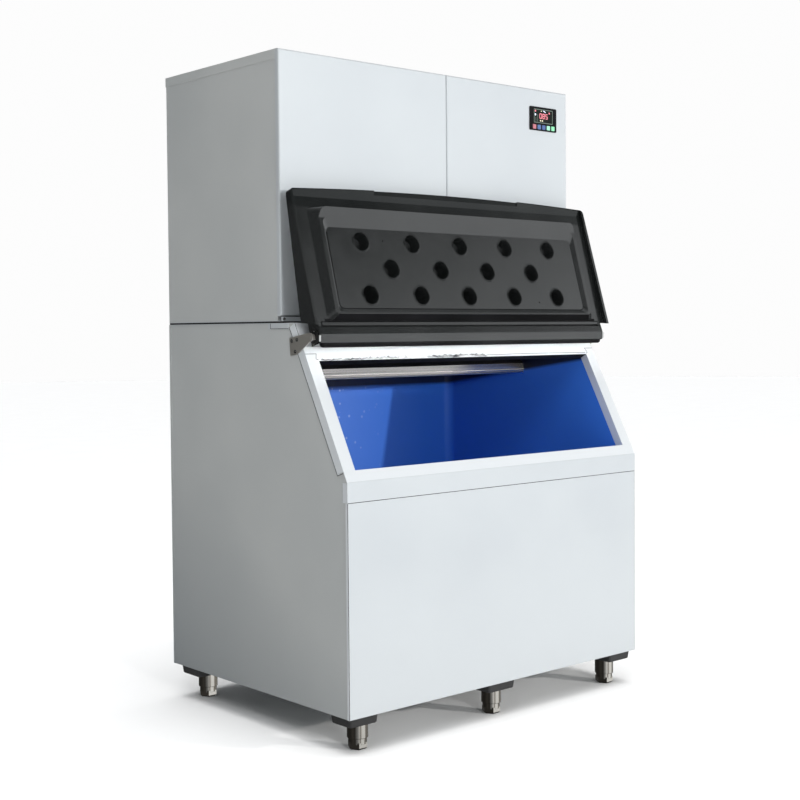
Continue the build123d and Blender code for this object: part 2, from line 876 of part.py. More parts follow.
with BuildPart() as hinge_screws:
    for side in (-1, 1):
        with BuildSketch(Plane.YZ.offset(side * (half_width + bracket_sheet))):
            with Locations(*[(pivot_y + y, pivot_z + z) for y, z in bracket_screws]):
                Circle(screw_head / 2)
        extrude(amount=side * screw_height, taper=30)
save(hinge_screws, "hinge_screws")

# Gasket between the bin and the head
with BuildPart() as gasket:
    block((-side_inner, side_inner), (head_front + sheet, rear - sheet), (bin_top, head_base))
    gap_x = (-throat_width / 2 - sheet, throat_width / 2 + sheet)
    block(gap_x, (throat_low - sheet, throat_high + sheet), (bin_base, head_top), mode=Mode.SUBTRACT)
save(gasket, "head_gasket")

# Base pan of the head with its drop opening
drop_x = (drop_side - side_inner, wall_left - drop_side)
drop_y = (drop_low, drop_high)
with BuildPart() as base_pan:
    block((-side_face, side_face), (head_front, rear), (head_base, head_floor))
    block((-side_face, side_face), (head_front, head_front + sheet), (head_base, head_base + base_upstand))
    collar_x = (drop_x[0] - base_sheet, drop_x[1] + base_sheet)
    collar_y = (drop_y[0] - base_sheet, drop_y[1] + base_sheet)
    block(collar_x, collar_y, (head_base, head_floor + drop_collar))
    block(drop_x, drop_y, (head_base - 1, head_floor + 2 * drop_collar), mode=Mode.SUBTRACT)
save(base_pan, "head_base_pan")

# Side panels of the head, the right one louvred
side_front = chamber_front
side_rear = rear
head_outline = [
    (side_front, head_floor),
    (side_front, chamber_top),
    (side_rear - sheet, chamber_top),
    (side_rear - sheet, head_floor),
]
head_flange_line = [
    (side_front + sheet, head_floor + sheet),
    (side_front + sheet, chamber_top - sheet),
    (side_rear - 2 * sheet, chamber_top - sheet),
    (side_rear - 2 * sheet, head_floor + sheet),
]
louvre_low = head_floor + 60
for side, name in ((-1, "head_side_left"), (1, "head_side_right")):
    head_side = side_panel(side, head_outline, head_flange_line)
    if side > 0:
        with head_side:
            louvre_y = (head_front + 120, head_front + 120 + louvre_length)
            for row in range(louvre_count):
                z = louvre_low + row * louvre_pitch
                block((side_inner - 5, side_face + 5), louvre_y, (z, z + louvre_slot), mode=Mode.SUBTRACT)
    save(head_side, name)

# Back panel of the head, set in, with the condenser's air grille
with BuildPart() as head_back:
    back_x = (-side_inner, side_inner)
    block(back_x, (back_panel_face - sheet, back_panel_face), (head_floor + sheet, chamber_top - sheet))
    grille_x = (condenser_centre - louvre_length / 2, condenser_centre + louvre_length / 2)
    for row in range(louvre_count):
        z = louvre_low + row * louvre_pitch
        slot_y = (back_panel_face - 3 * sheet, back_panel_face + sheet)
        block(grille_x, slot_y, (z, z + louvre_slot), mode=Mode.SUBTRACT)
    valve_spot = Location((front_seam + valve_offset, head_base + valve_height, 0))
    with Locations(facing_front(back_panel_face) * valve_spot):
        Cylinder(collar_radius + running_gap, 6 * sheet, mode=Mode.SUBTRACT)
save(head_back, "head_back_panel")

# Top cover with flanges turned down on all sides
with BuildPart() as top_cover:
    cover_y = (head_front + panel_return, rear)
    block((-half_width, half_width), cover_y, (head_top - cover_flange, head_top))
    inner_y = (cover_y[0] + sheet, cover_y[1] - sheet)
    hollow_z = (head_top - 2 * cover_flange, head_top - sheet)
    block((-side_face, side_face), inner_y, hollow_z, mode=Mode.SUBTRACT)
save(top_cover, "head_top_cover")


def front_door(low_x, high_x):
    """A front panel of folded sheet, open at the back."""
    with BuildPart() as door:
        block((low_x, high_x), (head_front, head_front + panel_return), (panel_bottom, head_top))
        face = door.faces().sort_by(Axis.Y)[0]
        fillet(face.edges(), radius=front_corner)
        back = door.faces().sort_by(Axis.Y)[-1]
        offset(amount=-sheet, openings=back)
    return door


door_left = front_door(-half_width, front_seam - seam_gap / 2)
save(door_left, "head_front_left")

display_z = head_base + display_centre_up
door_right = front_door(front_seam + seam_gap / 2, half_width)
with door_right:
    cut_x = display_width / 2 - bezel_lap
    cut_z = display_height / 2 - bezel_lap
    window_x = (display_centre_x - cut_x, display_centre_x + cut_x)
    window_z = (display_z - cut_z, display_z + cut_z)
    block(window_x, (head_front - sheet, head_front + 2 * sheet), window_z, mode=Mode.SUBTRACT)
save(door_right, "head_front_right")

# Wall between the freezing compartment and the machinery
with BuildPart() as freeze_wall:
    block((wall_left, wall_right), (chamber_front, back_panel_face - sheet), (head_floor, chamber_top))
save(freeze_wall, "freeze_wall")

with BuildPart() as bulkhead:
    bulkhead_y = (bulkhead_face, bulkhead_face + bulkhead_thickness)
    block((-side_inner, wall_left), bulkhead_y, (head_floor + sheet, chamber_top - sheet))
save(bulkhead, "freeze_bulkhead")

# Evaporator: a grid of cube cells with end plates and the refrigerant coil behind
grid_width = cells_across * cell_pitch
grid_height = cells_high * cell_pitch
grid_low = head_base + evaporator_low
grid_back = bulkhead_face - evaporator_standoff
grid_face = grid_back - plate_back - cell_depth
grid_x = (drop_centre - grid_width / 2, drop_centre + grid_width / 2)
curtain_y = grid_face - curtain_offset
end_top = grid_low + grid_height + 60
end_y = (grid_face - end_plate_reach, grid_back)
pivot_height = end_top - 24
with BuildPart() as evaporator:
    block(grid_x, (grid_face, grid_back), (grid_low, grid_low + grid_height))
    grid_centre = Location((drop_centre, grid_low + grid_height / 2, 0))
    with Locations(facing_front(grid_face) * grid_centre):
        with GridLocations(cell_pitch, cell_pitch, cells_across, cells_high):
            pocket = cell_pitch - cell_wall
            Box(pocket, pocket, 2 * cell_depth, mode=Mode.SUBTRACT)
    for side in (-1, 1):
        plate_x = sorted((grid_x[max(side, 0)], grid_x[max(side, 0)] + side * end_plate))
        block(plate_x, end_y, (grid_low, end_top))
        with Locations(Plane.YZ.offset(plate_x[0]) * Location((curtain_y, pivot_height, 0))):
            Cylinder(curtain_pin + pin_fit, 4 * end_plate, mode=Mode.SUBTRACT)
    pass_pitch = grid_height / coil_passes
    for turn in range(coil_passes):
        z = grid_low + (turn + 0.5) * pass_pitch
        with BuildSketch(Plane.YZ.offset(grid_x[0])):
            with Locations((grid_back + coil_tube / 2 - 1, z)):
                Circle(coil_tube / 2)
        extrude(amount=grid_width)
    for side in (-1, 1):
        for z in (grid_low + pass_pitch, grid_low + grid_height - pass_pitch):
            x = drop_centre + side * grid_width * 0.4
            block((x - 6, x + 6), (grid_back - 1, bulkhead_face), (z - 6, z + 6))
save(evaporator, "evaporator")

# Water distributor over the cells, with its feed hose from the pump
distributor_z = grid_low + grid_height + distributor_diameter / 2
distributor_y = grid_face + distributor_diameter / 2
pump_x = wall_left - pump_shelf / 2 - 4
with BuildPart() as distributor:
    with BuildSketch(Plane.YZ.offset(grid_x[0] + running_gap)):
        with Locations((distributor_y, distributor_z)):
            Circle(distributor_diameter / 2)
    extrude(amount=grid_width - 2 * running_gap)
save(distributor, "water_distributor")

# Water curtain hung on two pins in front of the cells
with BuildPart() as curtain:
    curtain_gap = 1.5
    curtain_x = (grid_x[0] + curtain_gap, grid_x[1] - curtain_gap)
    sheet_y = (curtain_y - curtain_pin - curtain_sheet + 1, curtain_y - curtain_pin + 1)
    block(curtain_x, sheet_y, (pivot_height - curtain_drop, pivot_height))
    with BuildSketch(Plane.YZ.offset(curtain_x[0])):
        with Locations((curtain_y, pivot_height)):
            Circle(curtain_pin + 2)
    extrude(amount=curtain_x[1] - curtain_x[0])
    with BuildSketch(Plane.YZ.offset(grid_x[0] - end_plate)):
        with Locations((curtain_y, pivot_height)):
            Circle(curtain_pin)
    extrude(amount=grid_width + 2 * end_plate)
save(curtain, "water_curtain")

# Sump under the cells and the pump on its shelf
sump_low = head_floor
sump_high = sump_low + sump_height
sump_y = (bulkhead_face - sump_depth, bulkhead_face)
with BuildPart() as sump:
    sump_x = (grid_x[0] - sump_margin, wall_left - running_gap)
    block(sump_x, sump_y, (sump_low, sump_high))
    basin_x = (sump_x[0] + sump_wall, sump_x[1] - sump_wall)
    basin_y = (sump_y[0] + sump_wall, sump_y[1] - sump_wall)
    block(basin_x, basin_y, (sump_low + sump_wall, sump_high + sump_wall), mode=Mode.SUBTRACT)
save(sump, "water_sump")

pump_y = (sump_y[0] + sump_y[1]) / 2
with BuildPart() as pump:
    shelf_x = (wall_left - pump_shelf, wall_left - running_gap)
    block(shelf_x, sump_y, (sump_high, sump_high + sump_wall))
    with BuildSketch(Plane.XY.offset(sump_high + sump_wall)):
        with Locations((pump_x, pump_y - 12)):
            Circle(pump_diameter / 2)
    extrude(amount=1.8 * pump_diameter)
    with BuildSketch(Plane.XY.offset(sump_high)):
        with Locations((pump_x, pump_y - 12)):
            Circle(pump_diameter / 3)
    extrude(amount=-sump_height * 0.85)
save(pump, "water_pump")

# Compressor on rubber grommets
comp_x = wall_right + compressor_gap + compressor_diameter / 2
comp_y = rear - compressor_inset
comp_low = head_floor + grommet_height
comp_radius = compressor_diameter / 2
comp_foot = 4.0
with BuildPart() as compressor:
    with Locations((comp_x, comp_y, comp_low + comp_foot)):
        Cylinder(comp_radius, compressor_height, align=(Align.CENTER, Align.CENTER, Align.MIN))
    fillet(compressor.edges().group_by(Axis.Z)[-1], radius=comp_radius * 0.45)
    fillet(compressor.edges().group_by(Axis.Z)[0], radius=comp_radius * 0.2)
    with Locations((comp_x, comp_y, comp_low + comp_foot)):
        Box(comp_radius * 1.9, comp_radius * 1.7, 2 * comp_foot)
save(compressor, "compressor")

with BuildPart() as grommets:
    with BuildSketch(Plane.XY.offset(head_floor)):
        with Locations((comp_x, comp_y)):
            with GridLocations(comp_radius * 1.6, comp_radius * 1.4, 2, 2):
                Circle(15)
    extrude(amount=grommet_height)
save(grommets, "compressor_mounts")

# Condenser coil with its fins, against the back panel
cond_x = (condenser_centre - condenser_width / 2, condenser_centre + condenser_width / 2)
cond_back = back_panel_face - sheet
cond_y = (cond_back - condenser_depth, cond_back)
cond_z = (head_floor, head_floor + condenser_height)
with BuildPart() as condenser:
    block(cond_x, cond_y, cond_z)
    fin_count = int((condenser_width - fin_pitch) / fin_pitch)
    grooves = Location((condenser_centre, (cond_z[0] + cond_z[1]) / 2, 0))
    for face_y in cond_y:
        with Locations(facing_front(face_y) * grooves):
            with GridLocations(fin_pitch, 1, fin_count, 1):
                Box(fin_gap, condenser_height - 2 * fin_pitch, 2 * fin_groove, mode=Mode.SUBTRACT)
save(condenser, "condenser_coil")

# Fan shroud, motor on its arms, and fan
fan_z = (cond_z[0] + cond_z[1]) / 2
shroud_y = (cond_y[0] - shroud_depth, cond_y[0])
with BuildPart() as shroud:
    block(cond_x, (shroud_y[1] - shroud_wall, shroud_y[1]), cond_z)
    with Locations(facing_front(shroud_y[1]) * Location((condenser_centre, fan_z, shroud_depth / 2))):
        Cylinder(fan_opening / 2 + shroud_wall, shroud_depth)
        Cylinder(fan_opening / 2, 2 * shroud_depth, mode=Mode.SUBTRACT)
save(shroud, "fan_shroud")

motor_face = shroud_y[0]
with BuildPart() as fan_motor:
    with BuildSketch(facing_front(motor_face)):
        with Locations((condenser_centre, fan_z)):
            Rectangle(fan_opening + 2 * shroud_wall, arm_width)
            Rectangle(arm_width, fan_opening + 2 * shroud_wall)
    extrude(amount=shroud_wall)
    with BuildSketch(facing_front(motor_face)):
        with Locations((condenser_centre, fan_z)):
            Circle(motor_diameter / 2)
    extrude(amount=motor_length)
    with BuildSketch(facing_front(motor_face + shroud_depth * 0.75)):
        with Locations((condenser_centre, fan_z)):
            Circle(fan_shaft)
    extrude(amount=shroud_depth * 0.75)
save(fan_motor, "fan_motor")

fan_y = motor_face + shroud_depth / 2
with BuildPart() as fan:
    hub_depth = shroud_depth * 0.6
    fan_centre = Location((condenser_centre, fan_z, 0))
    with Locations(facing_front(fan_y) * fan_centre):
        with PolarLocations(0, fan_blade_count):
            blade_length = fan_diameter / 2 - fan_hub / 4
            blade_place = Location((fan_hub / 4 + blade_length / 2, 0, 0), (fan_pitch, 0, 0))
            with Locations(blade_place):
                Box(blade_length, fan_hub * 0.75, fan_blade_sheet)
    with Locations(facing_front(fan_y) * fan_centre):
        Cylinder(fan_diameter / 2, shroud_depth, mode=Mode.INTERSECT)
        Cylinder(fan_hub / 2, hub_depth)
        Cylinder(fan_shaft + pin_fit, 2 * shroud_depth, mode=Mode.SUBTRACT)
save(fan, "fan_blades")

# Refrigerant lines and filter drier
comp_top = comp_low + comp_foot + compressor_height
line_across = cond_x[0] + line_end - comp_x
line_fillet = min(line_bend, 0.45 * line_across)
with BuildPart() as lines:
    with BuildLine():
        route = FilletPolyline(
            (comp_x, comp_y, comp_top),
            (comp_x, comp_y, comp_top + line_rise),
            (comp_x, cond_y[0] + condenser_depth / 2, comp_top + line_rise),
            (comp_x + line_across, cond_y[0] + condenser_depth / 2, comp_top + line_rise),
            (comp_x + line_across, cond_y[0] + condenser_depth / 2, cond_z[1]),
            radius=line_fillet,
        )
    with BuildSketch(Plane(origin=route @ 0, z_dir=route % 0)):
        Circle(line_diameter / 2)
    sweep(path=route)
save(lines, "refrigerant_lines")

with BuildPart() as drier:
    with BuildSketch(Plane.XY.offset(head_floor)):
        with Locations((wall_right + drier_diameter / 2, comp_y + drier_offset)):
            Circle(drier_diameter / 2)
    extrude(amount=drier_length)
save(drier, "filter_drier")

# Water inlet valve on the back panel
valve_x = front_seam + valve_offset
valve_z = head_base + valve_height
with BuildPart() as valve:
    with BuildSketch(facing_front(cond_back + collar_length)):
        with Locations((valve_x, valve_z)):
            Circle(collar_radius)
    extrude(amount=collar_length)
    with BuildSketch(facing_front(rear - sheet)):
        with Locations((valve_x, valve_z)):
            Circle(spigot_radius)
    extrude(amount=rear - sheet - cond_back)
    with BuildSketch(facing_front(rear - sheet)):
        with Locations((valve_x, valve_z)):
            Circle(spigot_bore)
    extrude(amount=rear - sheet - cond_back, mode=Mode.SUBTRACT)
    with BuildSketch(facing_front(cond_back)):
        with Locations((valve_x, valve_z)):
            Rectangle(valve_size, valve_size)
    extrude(amount=valve_depth)
    with BuildSketch(facing_front(cond_back - valve_depth / 2)):
        with Locations((valve_x, valve_z + valve_depth)):
            Circle(coil_radius)
    extrude(amount=valve_depth)
save(valve, "inlet_valve")

# Control box on the right side panel, with its board
control_x = (side_inner - control_width, side_inner)
control_y = (chamber_front + control_gap, chamber_front + control_gap + control_depth)
control_top = display_z - control_below_display
control_z = (control_top - control_height, control_top)
with BuildPart() as control_box:
    block(control_x, control_y, control_z)
    inner_control_x = (control_x[0] + sheet, control_x[1] - sheet)
    inner_control_z = (control_z[0] + sheet, control_z[1] - sheet)
    block(inner_control_x, (control_y[0] - 1, control_y[1] - sheet), inner_control_z, mode=Mode.SUBTRACT)
save(control_box, "control_box")

with BuildPart() as board:
    board_back = control_y[1] - sheet
    board_x = (control_x[0] + board_margin, control_x[1] - board_margin)
    board_z = (control_z[0] + board_margin, control_z[1] - board_margin)
    board_face = board_back - board_standoff - board_sheet
    block(board_x, (board_face, board_back - board_standoff), board_z)
    middle = Location(((board_x[0] + board_x[1]) / 2, (board_z[0] + board_z[1]) / 2, 0))
    with Locations(facing_front(board_back - board_standoff / 2) * middle):
        post_span = board_x[1] - board_x[0] - board_margin
        post_rise = board_z[1] - board_z[0] - board_margin
        with GridLocations(post_span, post_rise, 2, 2):
            Box(board_post, board_post, board_standoff)
    with Locations(facing_front(board_face - relay_depth / 2) * middle):
        with GridLocations(relay_pitch, 0, 4, 1):
            Box(relay_width, relay_height, relay_depth)
save(board, "control_board")

# Display: bezel, screen with its circuit board, and five keys
bezel_face = head_front - bezel_proud
body_half_x = cut_x - running_gap
body_half_z = cut_z - running_gap
screen_centre = (display_centre_x + screen_across, display_z + screen_shift)
key_spots = [(screen_centre[0] + (i - 2) * key_pitch, display_z + key_shift) for i in range(5)]
with BuildPart() as bezel:
    with BuildSketch(facing_front(head_front)):
        with Locations((display_centre_x, display_z)):
            RectangleRounded(display_width, display_height, 4)
    extrude(amount=bezel_proud)
    with BuildSketch(facing_front(head_front + bezel_body)):
        with Locations((display_centre_x, display_z)):
            Rectangle(2 * body_half_x, 2 * body_half_z)
            Rectangle(2 * (body_half_x - bezel_wall), 2 * (body_half_z - bezel_wall), mode=Mode.SUBTRACT)
    extrude(amount=bezel_body)
    with BuildSketch(facing_front(head_front)):
        with Locations(screen_centre):
            Rectangle(screen_width + 2 * running_gap, screen_height + 2 * running_gap)
        with Locations(*key_spots):
            RectangleRounded(key_width + 2 * running_gap, key_height + 2 * running_gap, 3)
    extrude(amount=2 * bezel_proud, mode=Mode.SUBTRACT)
save(bezel, "display_bezel")

key_back = head_front + bezel_body / 2
circuit_face = key_back + key_stroke_room
with BuildPart() as screen:
    with BuildSketch(facing_front(circuit_face)):
        with Locations(screen_centre):
            Rectangle(screen_width, screen_height)
    extrude(amount=circuit_face - bezel_face - screen_recess)
    with BuildSketch(facing_front(circuit_face + circuit_sheet)):
        with Locations((display_centre_x, display_z)):
            board_half_x = body_half_x - bezel_wall - running_gap
            board_half_z = body_half_z - bezel_wall - running_gap
            Rectangle(2 * board_half_x, 2 * board_half_z)
    extrude(amount=circuit_sheet)
save(screen, "display_screen")

key_names = ("key_red", "key_blue", "key_navy", "key_mint", "key_green")
for key_name, spot in zip(key_names, key_spots):
    with BuildPart() as key:
        with BuildSketch(facing_front(key_back)):
            with Locations(spot):
                RectangleRounded(key_width, key_height, 2.7)
        extrude(amount=key_back - bezel_face + key_proud)
        fillet(key.faces().sort_by(Axis.Y)[0].edges(), radius=0.8)
    save(key, key_name)
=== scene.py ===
import json
import math
from functools import partial

import bmesh
import bpy
from mathutils import Matrix, Vector


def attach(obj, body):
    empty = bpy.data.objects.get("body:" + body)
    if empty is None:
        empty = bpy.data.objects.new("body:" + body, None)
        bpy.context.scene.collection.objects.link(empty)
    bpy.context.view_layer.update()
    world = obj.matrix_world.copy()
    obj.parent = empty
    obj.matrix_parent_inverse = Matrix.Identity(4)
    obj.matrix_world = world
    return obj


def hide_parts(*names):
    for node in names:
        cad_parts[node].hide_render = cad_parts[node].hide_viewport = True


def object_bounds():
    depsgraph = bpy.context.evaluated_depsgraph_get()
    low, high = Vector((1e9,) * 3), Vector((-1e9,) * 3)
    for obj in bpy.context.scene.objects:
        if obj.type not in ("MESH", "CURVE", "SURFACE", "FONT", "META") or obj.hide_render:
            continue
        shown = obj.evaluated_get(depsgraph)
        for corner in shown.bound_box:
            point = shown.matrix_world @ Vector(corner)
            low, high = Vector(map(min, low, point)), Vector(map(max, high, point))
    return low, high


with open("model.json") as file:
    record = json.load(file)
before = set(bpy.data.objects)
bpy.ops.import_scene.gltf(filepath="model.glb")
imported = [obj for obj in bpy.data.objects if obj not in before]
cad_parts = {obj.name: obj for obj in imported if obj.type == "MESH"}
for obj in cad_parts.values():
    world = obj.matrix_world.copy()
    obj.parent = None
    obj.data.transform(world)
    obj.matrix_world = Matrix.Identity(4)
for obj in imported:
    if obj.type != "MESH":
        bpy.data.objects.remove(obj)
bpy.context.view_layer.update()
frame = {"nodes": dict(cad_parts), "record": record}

scene = bpy.context.scene
nodes = frame["nodes"]


# Shader nodes
class Graph:
    """Shader nodes under construction, in a material or in the world."""

    # Places of the colours among a mix node's sockets
    FIRST, SECOND, MIXED = 6, 7, 2

    def __init__(self, tree):
        self.tree = tree

    def node(self, kind, **settings):
        made = self.tree.nodes.new("ShaderNode" + kind)
        for setting, value in settings.items():
            setattr(made, setting, value)
        return made

    def join(self, source, target):
        self.tree.links.new(source, target)

    def give(self, socket, value):
        """The value is a plain colour, a plain number or a socket to link."""
        if isinstance(value, tuple):
            socket.default_value = (*value, 1)
        elif isinstance(value, float):
            socket.default_value = value
        else:
            self.join(value, socket)

    def along(self, vector, direction):
        """The length of a vector along a fixed direction."""
        dot = self.node("VectorMath", operation="DOT_PRODUCT")
        dot.inputs[1].default_value = direction
        self.join(vector, dot.inputs[0])
        return dot.outputs["Value"]

    def remap(self, value, start, end, low=0.0, high=1.0, ease="LINEAR"):
        """The low number up to the start and the high one from the end on."""
        node = self.node("MapRange", interpolation_type=ease)
        node.inputs["From Min"].default_value = start
        node.inputs["From Max"].default_value = end
        node.inputs["To Min"].default_value = low
        node.inputs["To Max"].default_value = high
        self.join(value, node.inputs["Value"])
        return node.outputs["Result"]

    def ramp(self, factor, stops):
        """The stops are pairs of a position and a colour."""
        node = self.node("ValToRGB")
        elements = node.color_ramp.elements
        while len(elements) < len(stops):
            elements.new(0.5)
        for element, (position, colour) in zip(elements, stops):
            element.position = position
            element.color = (*colour, 1)
        self.join(factor, node.inputs["Fac"])
        return node.outputs["Color"]

    def mix(self, factor, first, second, kind="MIX"):
        node = self.node("Mix", data_type="RGBA", blend_type=kind)
        self.give(node.inputs["Factor"], factor)
        self.give(node.inputs[self.FIRST], first)
        self.give(node.inputs[self.SECOND], second)
        return node.outputs[self.MIXED]


class Surface(Graph):
    """A node material, with its noise patterns in object space, in metres."""

    # The span that a noise pattern mostly keeps to
    NOISE_LOW, NOISE_HIGH = 0.3, 0.7

    def __init__(self, name, metallic=0.0, coat=0.0):
        self.material = bpy.data.materials.new(name)
        self.material.use_nodes = True
        super().__init__(self.material.node_tree)
        self.shader = self.tree.nodes["Principled BSDF"]
        self.shader.inputs["Metallic"].default_value = metallic
        self.shader.inputs["Coat Weight"].default_value = coat
        self.coords = self.node("TexCoord").outputs["Object"]
        self.normal = None

    def noise(self, scale, stretch=(1, 1, 1), detail=3.0):
        mapping = self.node("Mapping")
        mapping.inputs["Scale"].default_value = stretch
        texture = self.node("TexNoise")
        texture.inputs["Scale"].default_value = scale
        texture.inputs["Detail"].default_value = detail
        self.join(self.coords, mapping.inputs["Vector"])
        self.join(mapping.outputs["Vector"], texture.inputs["Vector"])
        return texture.outputs["Fac"]

    def fade(self, direction, start, end):
        """0 before the start and 1 after the end, in metres along a direction."""
        return self.remap(self.along(self.coords, direction), start, end)

    def drops(self, scale, share):
        """1 in small round spots, a share of a cell across, and 0 between them."""
        cells = self.node("TexVoronoi")
        cells.inputs["Scale"].default_value = scale
        self.join(self.coords, cells.inputs["Vector"])
        return self.ramp(cells.outputs["Distance"], [(share, (1, 1, 1)), (share * 1.3, (0, 0, 0))])

    def glint(self, directions, edge, full):
        """1 on faces that look along one of the level directions, and 0 on others."""
        normal = self.node("NewGeometry").outputs["Normal"]
        total = None
        for x, y in directions:
            near = self.remap(self.along(normal, (x, y, 0)), edge, full, ease="SMOOTHSTEP")
            if total is None:
                total = near
                continue
            both = self.node("Math", operation="MAXIMUM")
            self.join(total, both.inputs[0])
            self.join(near, both.inputs[1])
            total = both.outputs["Value"]
        return total

    def mottle(self, factor, low, high):
        return self.ramp(factor, [(self.NOISE_LOW, low), (self.NOISE_HIGH, high)])

    def paint(self, source):
        self.painted = source
        self.join(source, self.shader.inputs["Base Color"])

    def tint(self, factor, colour):
        """The colour so far, turned into another where the factor is 1."""
        self.paint(self.mix(factor, self.painted, colour))

    def ior(self, value):
        self.shader.inputs["IOR"].default_value = value

    def roughness(self, factor, low, high):
        spread = self.remap(factor, self.NOISE_LOW, self.NOISE_HIGH, low, high)
        self.join(spread, self.shader.inputs["Roughness"])

    def bump(self, factor, strength, distance):
        node = self.node("Bump")
        node.inputs["Strength"].default_value = strength
        node.inputs["Distance"].default_value = distance
        self.join(factor, node.inputs["Height"])
        if self.normal is not None:
            self.join(self.normal, node.inputs["Normal"])
        self.turn_normals(node)

    def soften_edges(self, radius):
        node = self.node("Bevel", samples=4)
        node.inputs["Radius"].default_value = radius
        self.turn_normals(node)

    def turn_normals(self, node):
        self.normal = node.outputs["Normal"]
        self.join(self.normal, self.shader.inputs["Normal"])


# Directions and places that both the looks and the fittings use, in metres
to_right, to_front, to_back, to_top, to_foot = (1, 0, 0), (0, -1, 0), (0, 1, 0), (0, 0, 1), (0, 0, -1)
to_bottom_rear = (0, 0.6, -0.8)
# Edge of the painted shadow in the liner
painted_shadow_line = (0, 0.1423, 1)
bin_front = -0.448
half_width = 0.610
slope_foot, slope_run, slope_rise = 0.7555, 0.228, 0.4365
lid_pivot = Vector((0, -0.29283108, 1.1508427))
lid_along = Vector((0, 0.2672, 0.9636))
lid_out = Vector((0, -0.9636, 0.2672))
lid_border = lid_pivot.dot(lid_along) + 0.374


# Looks
def sheet_steel(
    name, low, high, metallic, rough, grain=(1, 1, 1), waviness=0.15, slope=None, shade=None, foot=None
):
    """Satin sheet, with a lighter colour of painted light on the slope and near the foot, and a darker
    colour of painted shade towards the bottom rear.
    """
    surface = Surface(name, metallic=metallic)
    surface.soften_edges(0.0012)
    surface.paint(surface.mottle(surface.noise(2.2, detail=2.0), low, high))
    # Painted shade: a darker colour towards the bottom rear
    if shade:
        surface.tint(surface.fade(to_bottom_rear, start=-0.45, end=0.25), shade)
    # Painted light: a lighter colour near the foot
    if foot:
        surface.tint(surface.fade(to_foot, start=-0.52, end=-0.14), foot)
    # Painted light: a lighter colour on the slope, then the front's colour again on the head behind it
    if slope:
        front = surface.painted
        surface.tint(surface.fade(to_back, start=bin_front + 0.0001, end=bin_front + 0.0014), slope)
        surface.tint(surface.fade(to_back, start=-0.20, end=-0.18), front)
    surface.roughness(surface.noise(5, detail=6.0), rough - 0.015, rough + 0.015)
    surface.bump(surface.noise(1.7, detail=1.0), strength=waviness, distance=0.01)
    surface.bump(surface.noise(900, stretch=grain, detail=1.0), strength=0.02, distance=0.0001)
    return surface.material


def moulded(name, low, high, rough, grain_scale=900, grain=0.05, coat=0.0, edge=0.0015, ior=1.5):
    surface = Surface(name, coat=coat)
    surface.ior(ior)
    surface.soften_edges(edge)
    surface.paint(surface.mottle(surface.noise(6, detail=4.0), low, high))
    surface.roughness(surface.noise(14, detail=4.0), rough - 0.06, rough + 0.08)
    surface.bump(surface.noise(grain_scale, detail=2.0), strength=grain, distance=0.0003)
    return surface.material


def plated(name, low, high, rough, scale=60):
    surface = Surface(name, metallic=1.0)
    surface.soften_edges(0.0008)
    surface.paint(surface.mottle(surface.noise(scale, detail=4.0), low, high))
    surface.roughness(surface.noise(scale * 2, detail=3.0), rough - 0.06, rough + 0.08)
    surface.bump(surface.noise(scale * 10), strength=0.05, distance=0.0002)
    return surface.material


def cast_nickel(name, low, high, painted_glint):
    """Plated casting, with painted upright glints on the faces that look to the front and the front left."""
    surface = Surface(name, metallic=1.0)
    surface.soften_edges(0.0008)
    surface.paint(surface.mottle(surface.noise(12, stretch=(1, 1, 0.2), detail=4.0), low, high))
    # Painted glints: a lighter colour on the faces that look along these level directions
    lights = ((-0.61, -0.79), (-0.10, -0.995))
    surface.tint(surface.glint(lights, edge=0.955, full=0.995), painted_glint)
    surface.roughness(surface.noise(24, detail=3.0), 0.12, 0.26)
    surface.bump(surface.noise(120), strength=0.05, distance=0.0002)
    return surface.material


def liner(name, left, right, drop_glint, dark):
    """Blue moulding with painted light to the left and painted shade to the right, drops of water with
    painted glints on the left, and a painted shadow above a sloping line.
    """
    surface = Surface(name)
    surface.ior(1.62)
    surface.soften_edges(0.003)
    deeper = tuple(0.9 * part for part in left)
    # Painted light: paler to the left, darker to the right
    surface.paint(surface.mottle(surface.noise(5, detail=4.0), deeper, left))
    surface.tint(surface.fade(to_right, start=-0.30, end=0.45), right)
    # Drops of water, with painted glints: near-white spots, kept to the left where the painted light is
    outside_lit_patch = surface.fade(to_right, start=-0.42, end=0.25)
    spots = surface.mix(outside_lit_patch, surface.drops(scale=40, share=0.16), (0, 0, 0))
    surface.tint(spots, drop_glint)
    # Painted shadow: near black above a sloping line
    surface.tint(surface.fade(painted_shadow_line, start=1.022, end=1.034), dark)
    surface.roughness(surface.noise(12, detail=4.0), 0.36, 0.48)
    surface.bump(spots, strength=0.5, distance=0.0008)
    surface.bump(surface.noise(700, detail=2.0), strength=0.05, distance=0.0003)
    return surface.material


def baffle(name, low, high, painted_fold_shade):
    """Sheet brushed along x, with painted shade above its fold."""
    surface = Surface(name, metallic=0.55)
    surface.soften_edges(0.001)
    surface.paint(surface.mottle(surface.noise(60, stretch=(0.03, 1, 1), detail=5.0), low, high))
    # Painted shade: near black above the fold
    surface.tint(surface.fade(to_top, start=1.070, end=1.076), painted_fold_shade)
    surface.roughness(surface.noise(40, stretch=(0.05, 1, 1)), 0.22, 0.34)
    surface.bump(surface.noise(300, stretch=(0.02, 1, 1)), strength=0.1, distance=0.0003)
    return surface.material


def brushed(name, low, high):
    """Bright sheet with a strong brushed grain along x."""
    surface = Surface(name, metallic=0.9)
    surface.soften_edges(0.0008)
    surface.paint(surface.mottle(surface.noise(260, stretch=(0.006, 1, 1), detail=4.0), low, high))
    surface.roughness(surface.noise(300, stretch=(0.01, 1, 1)), 0.16, 0.26)
    surface.bump(surface.noise(300, stretch=(0.02, 1, 1)), strength=0.1, distance=0.0002)
    return surface.material


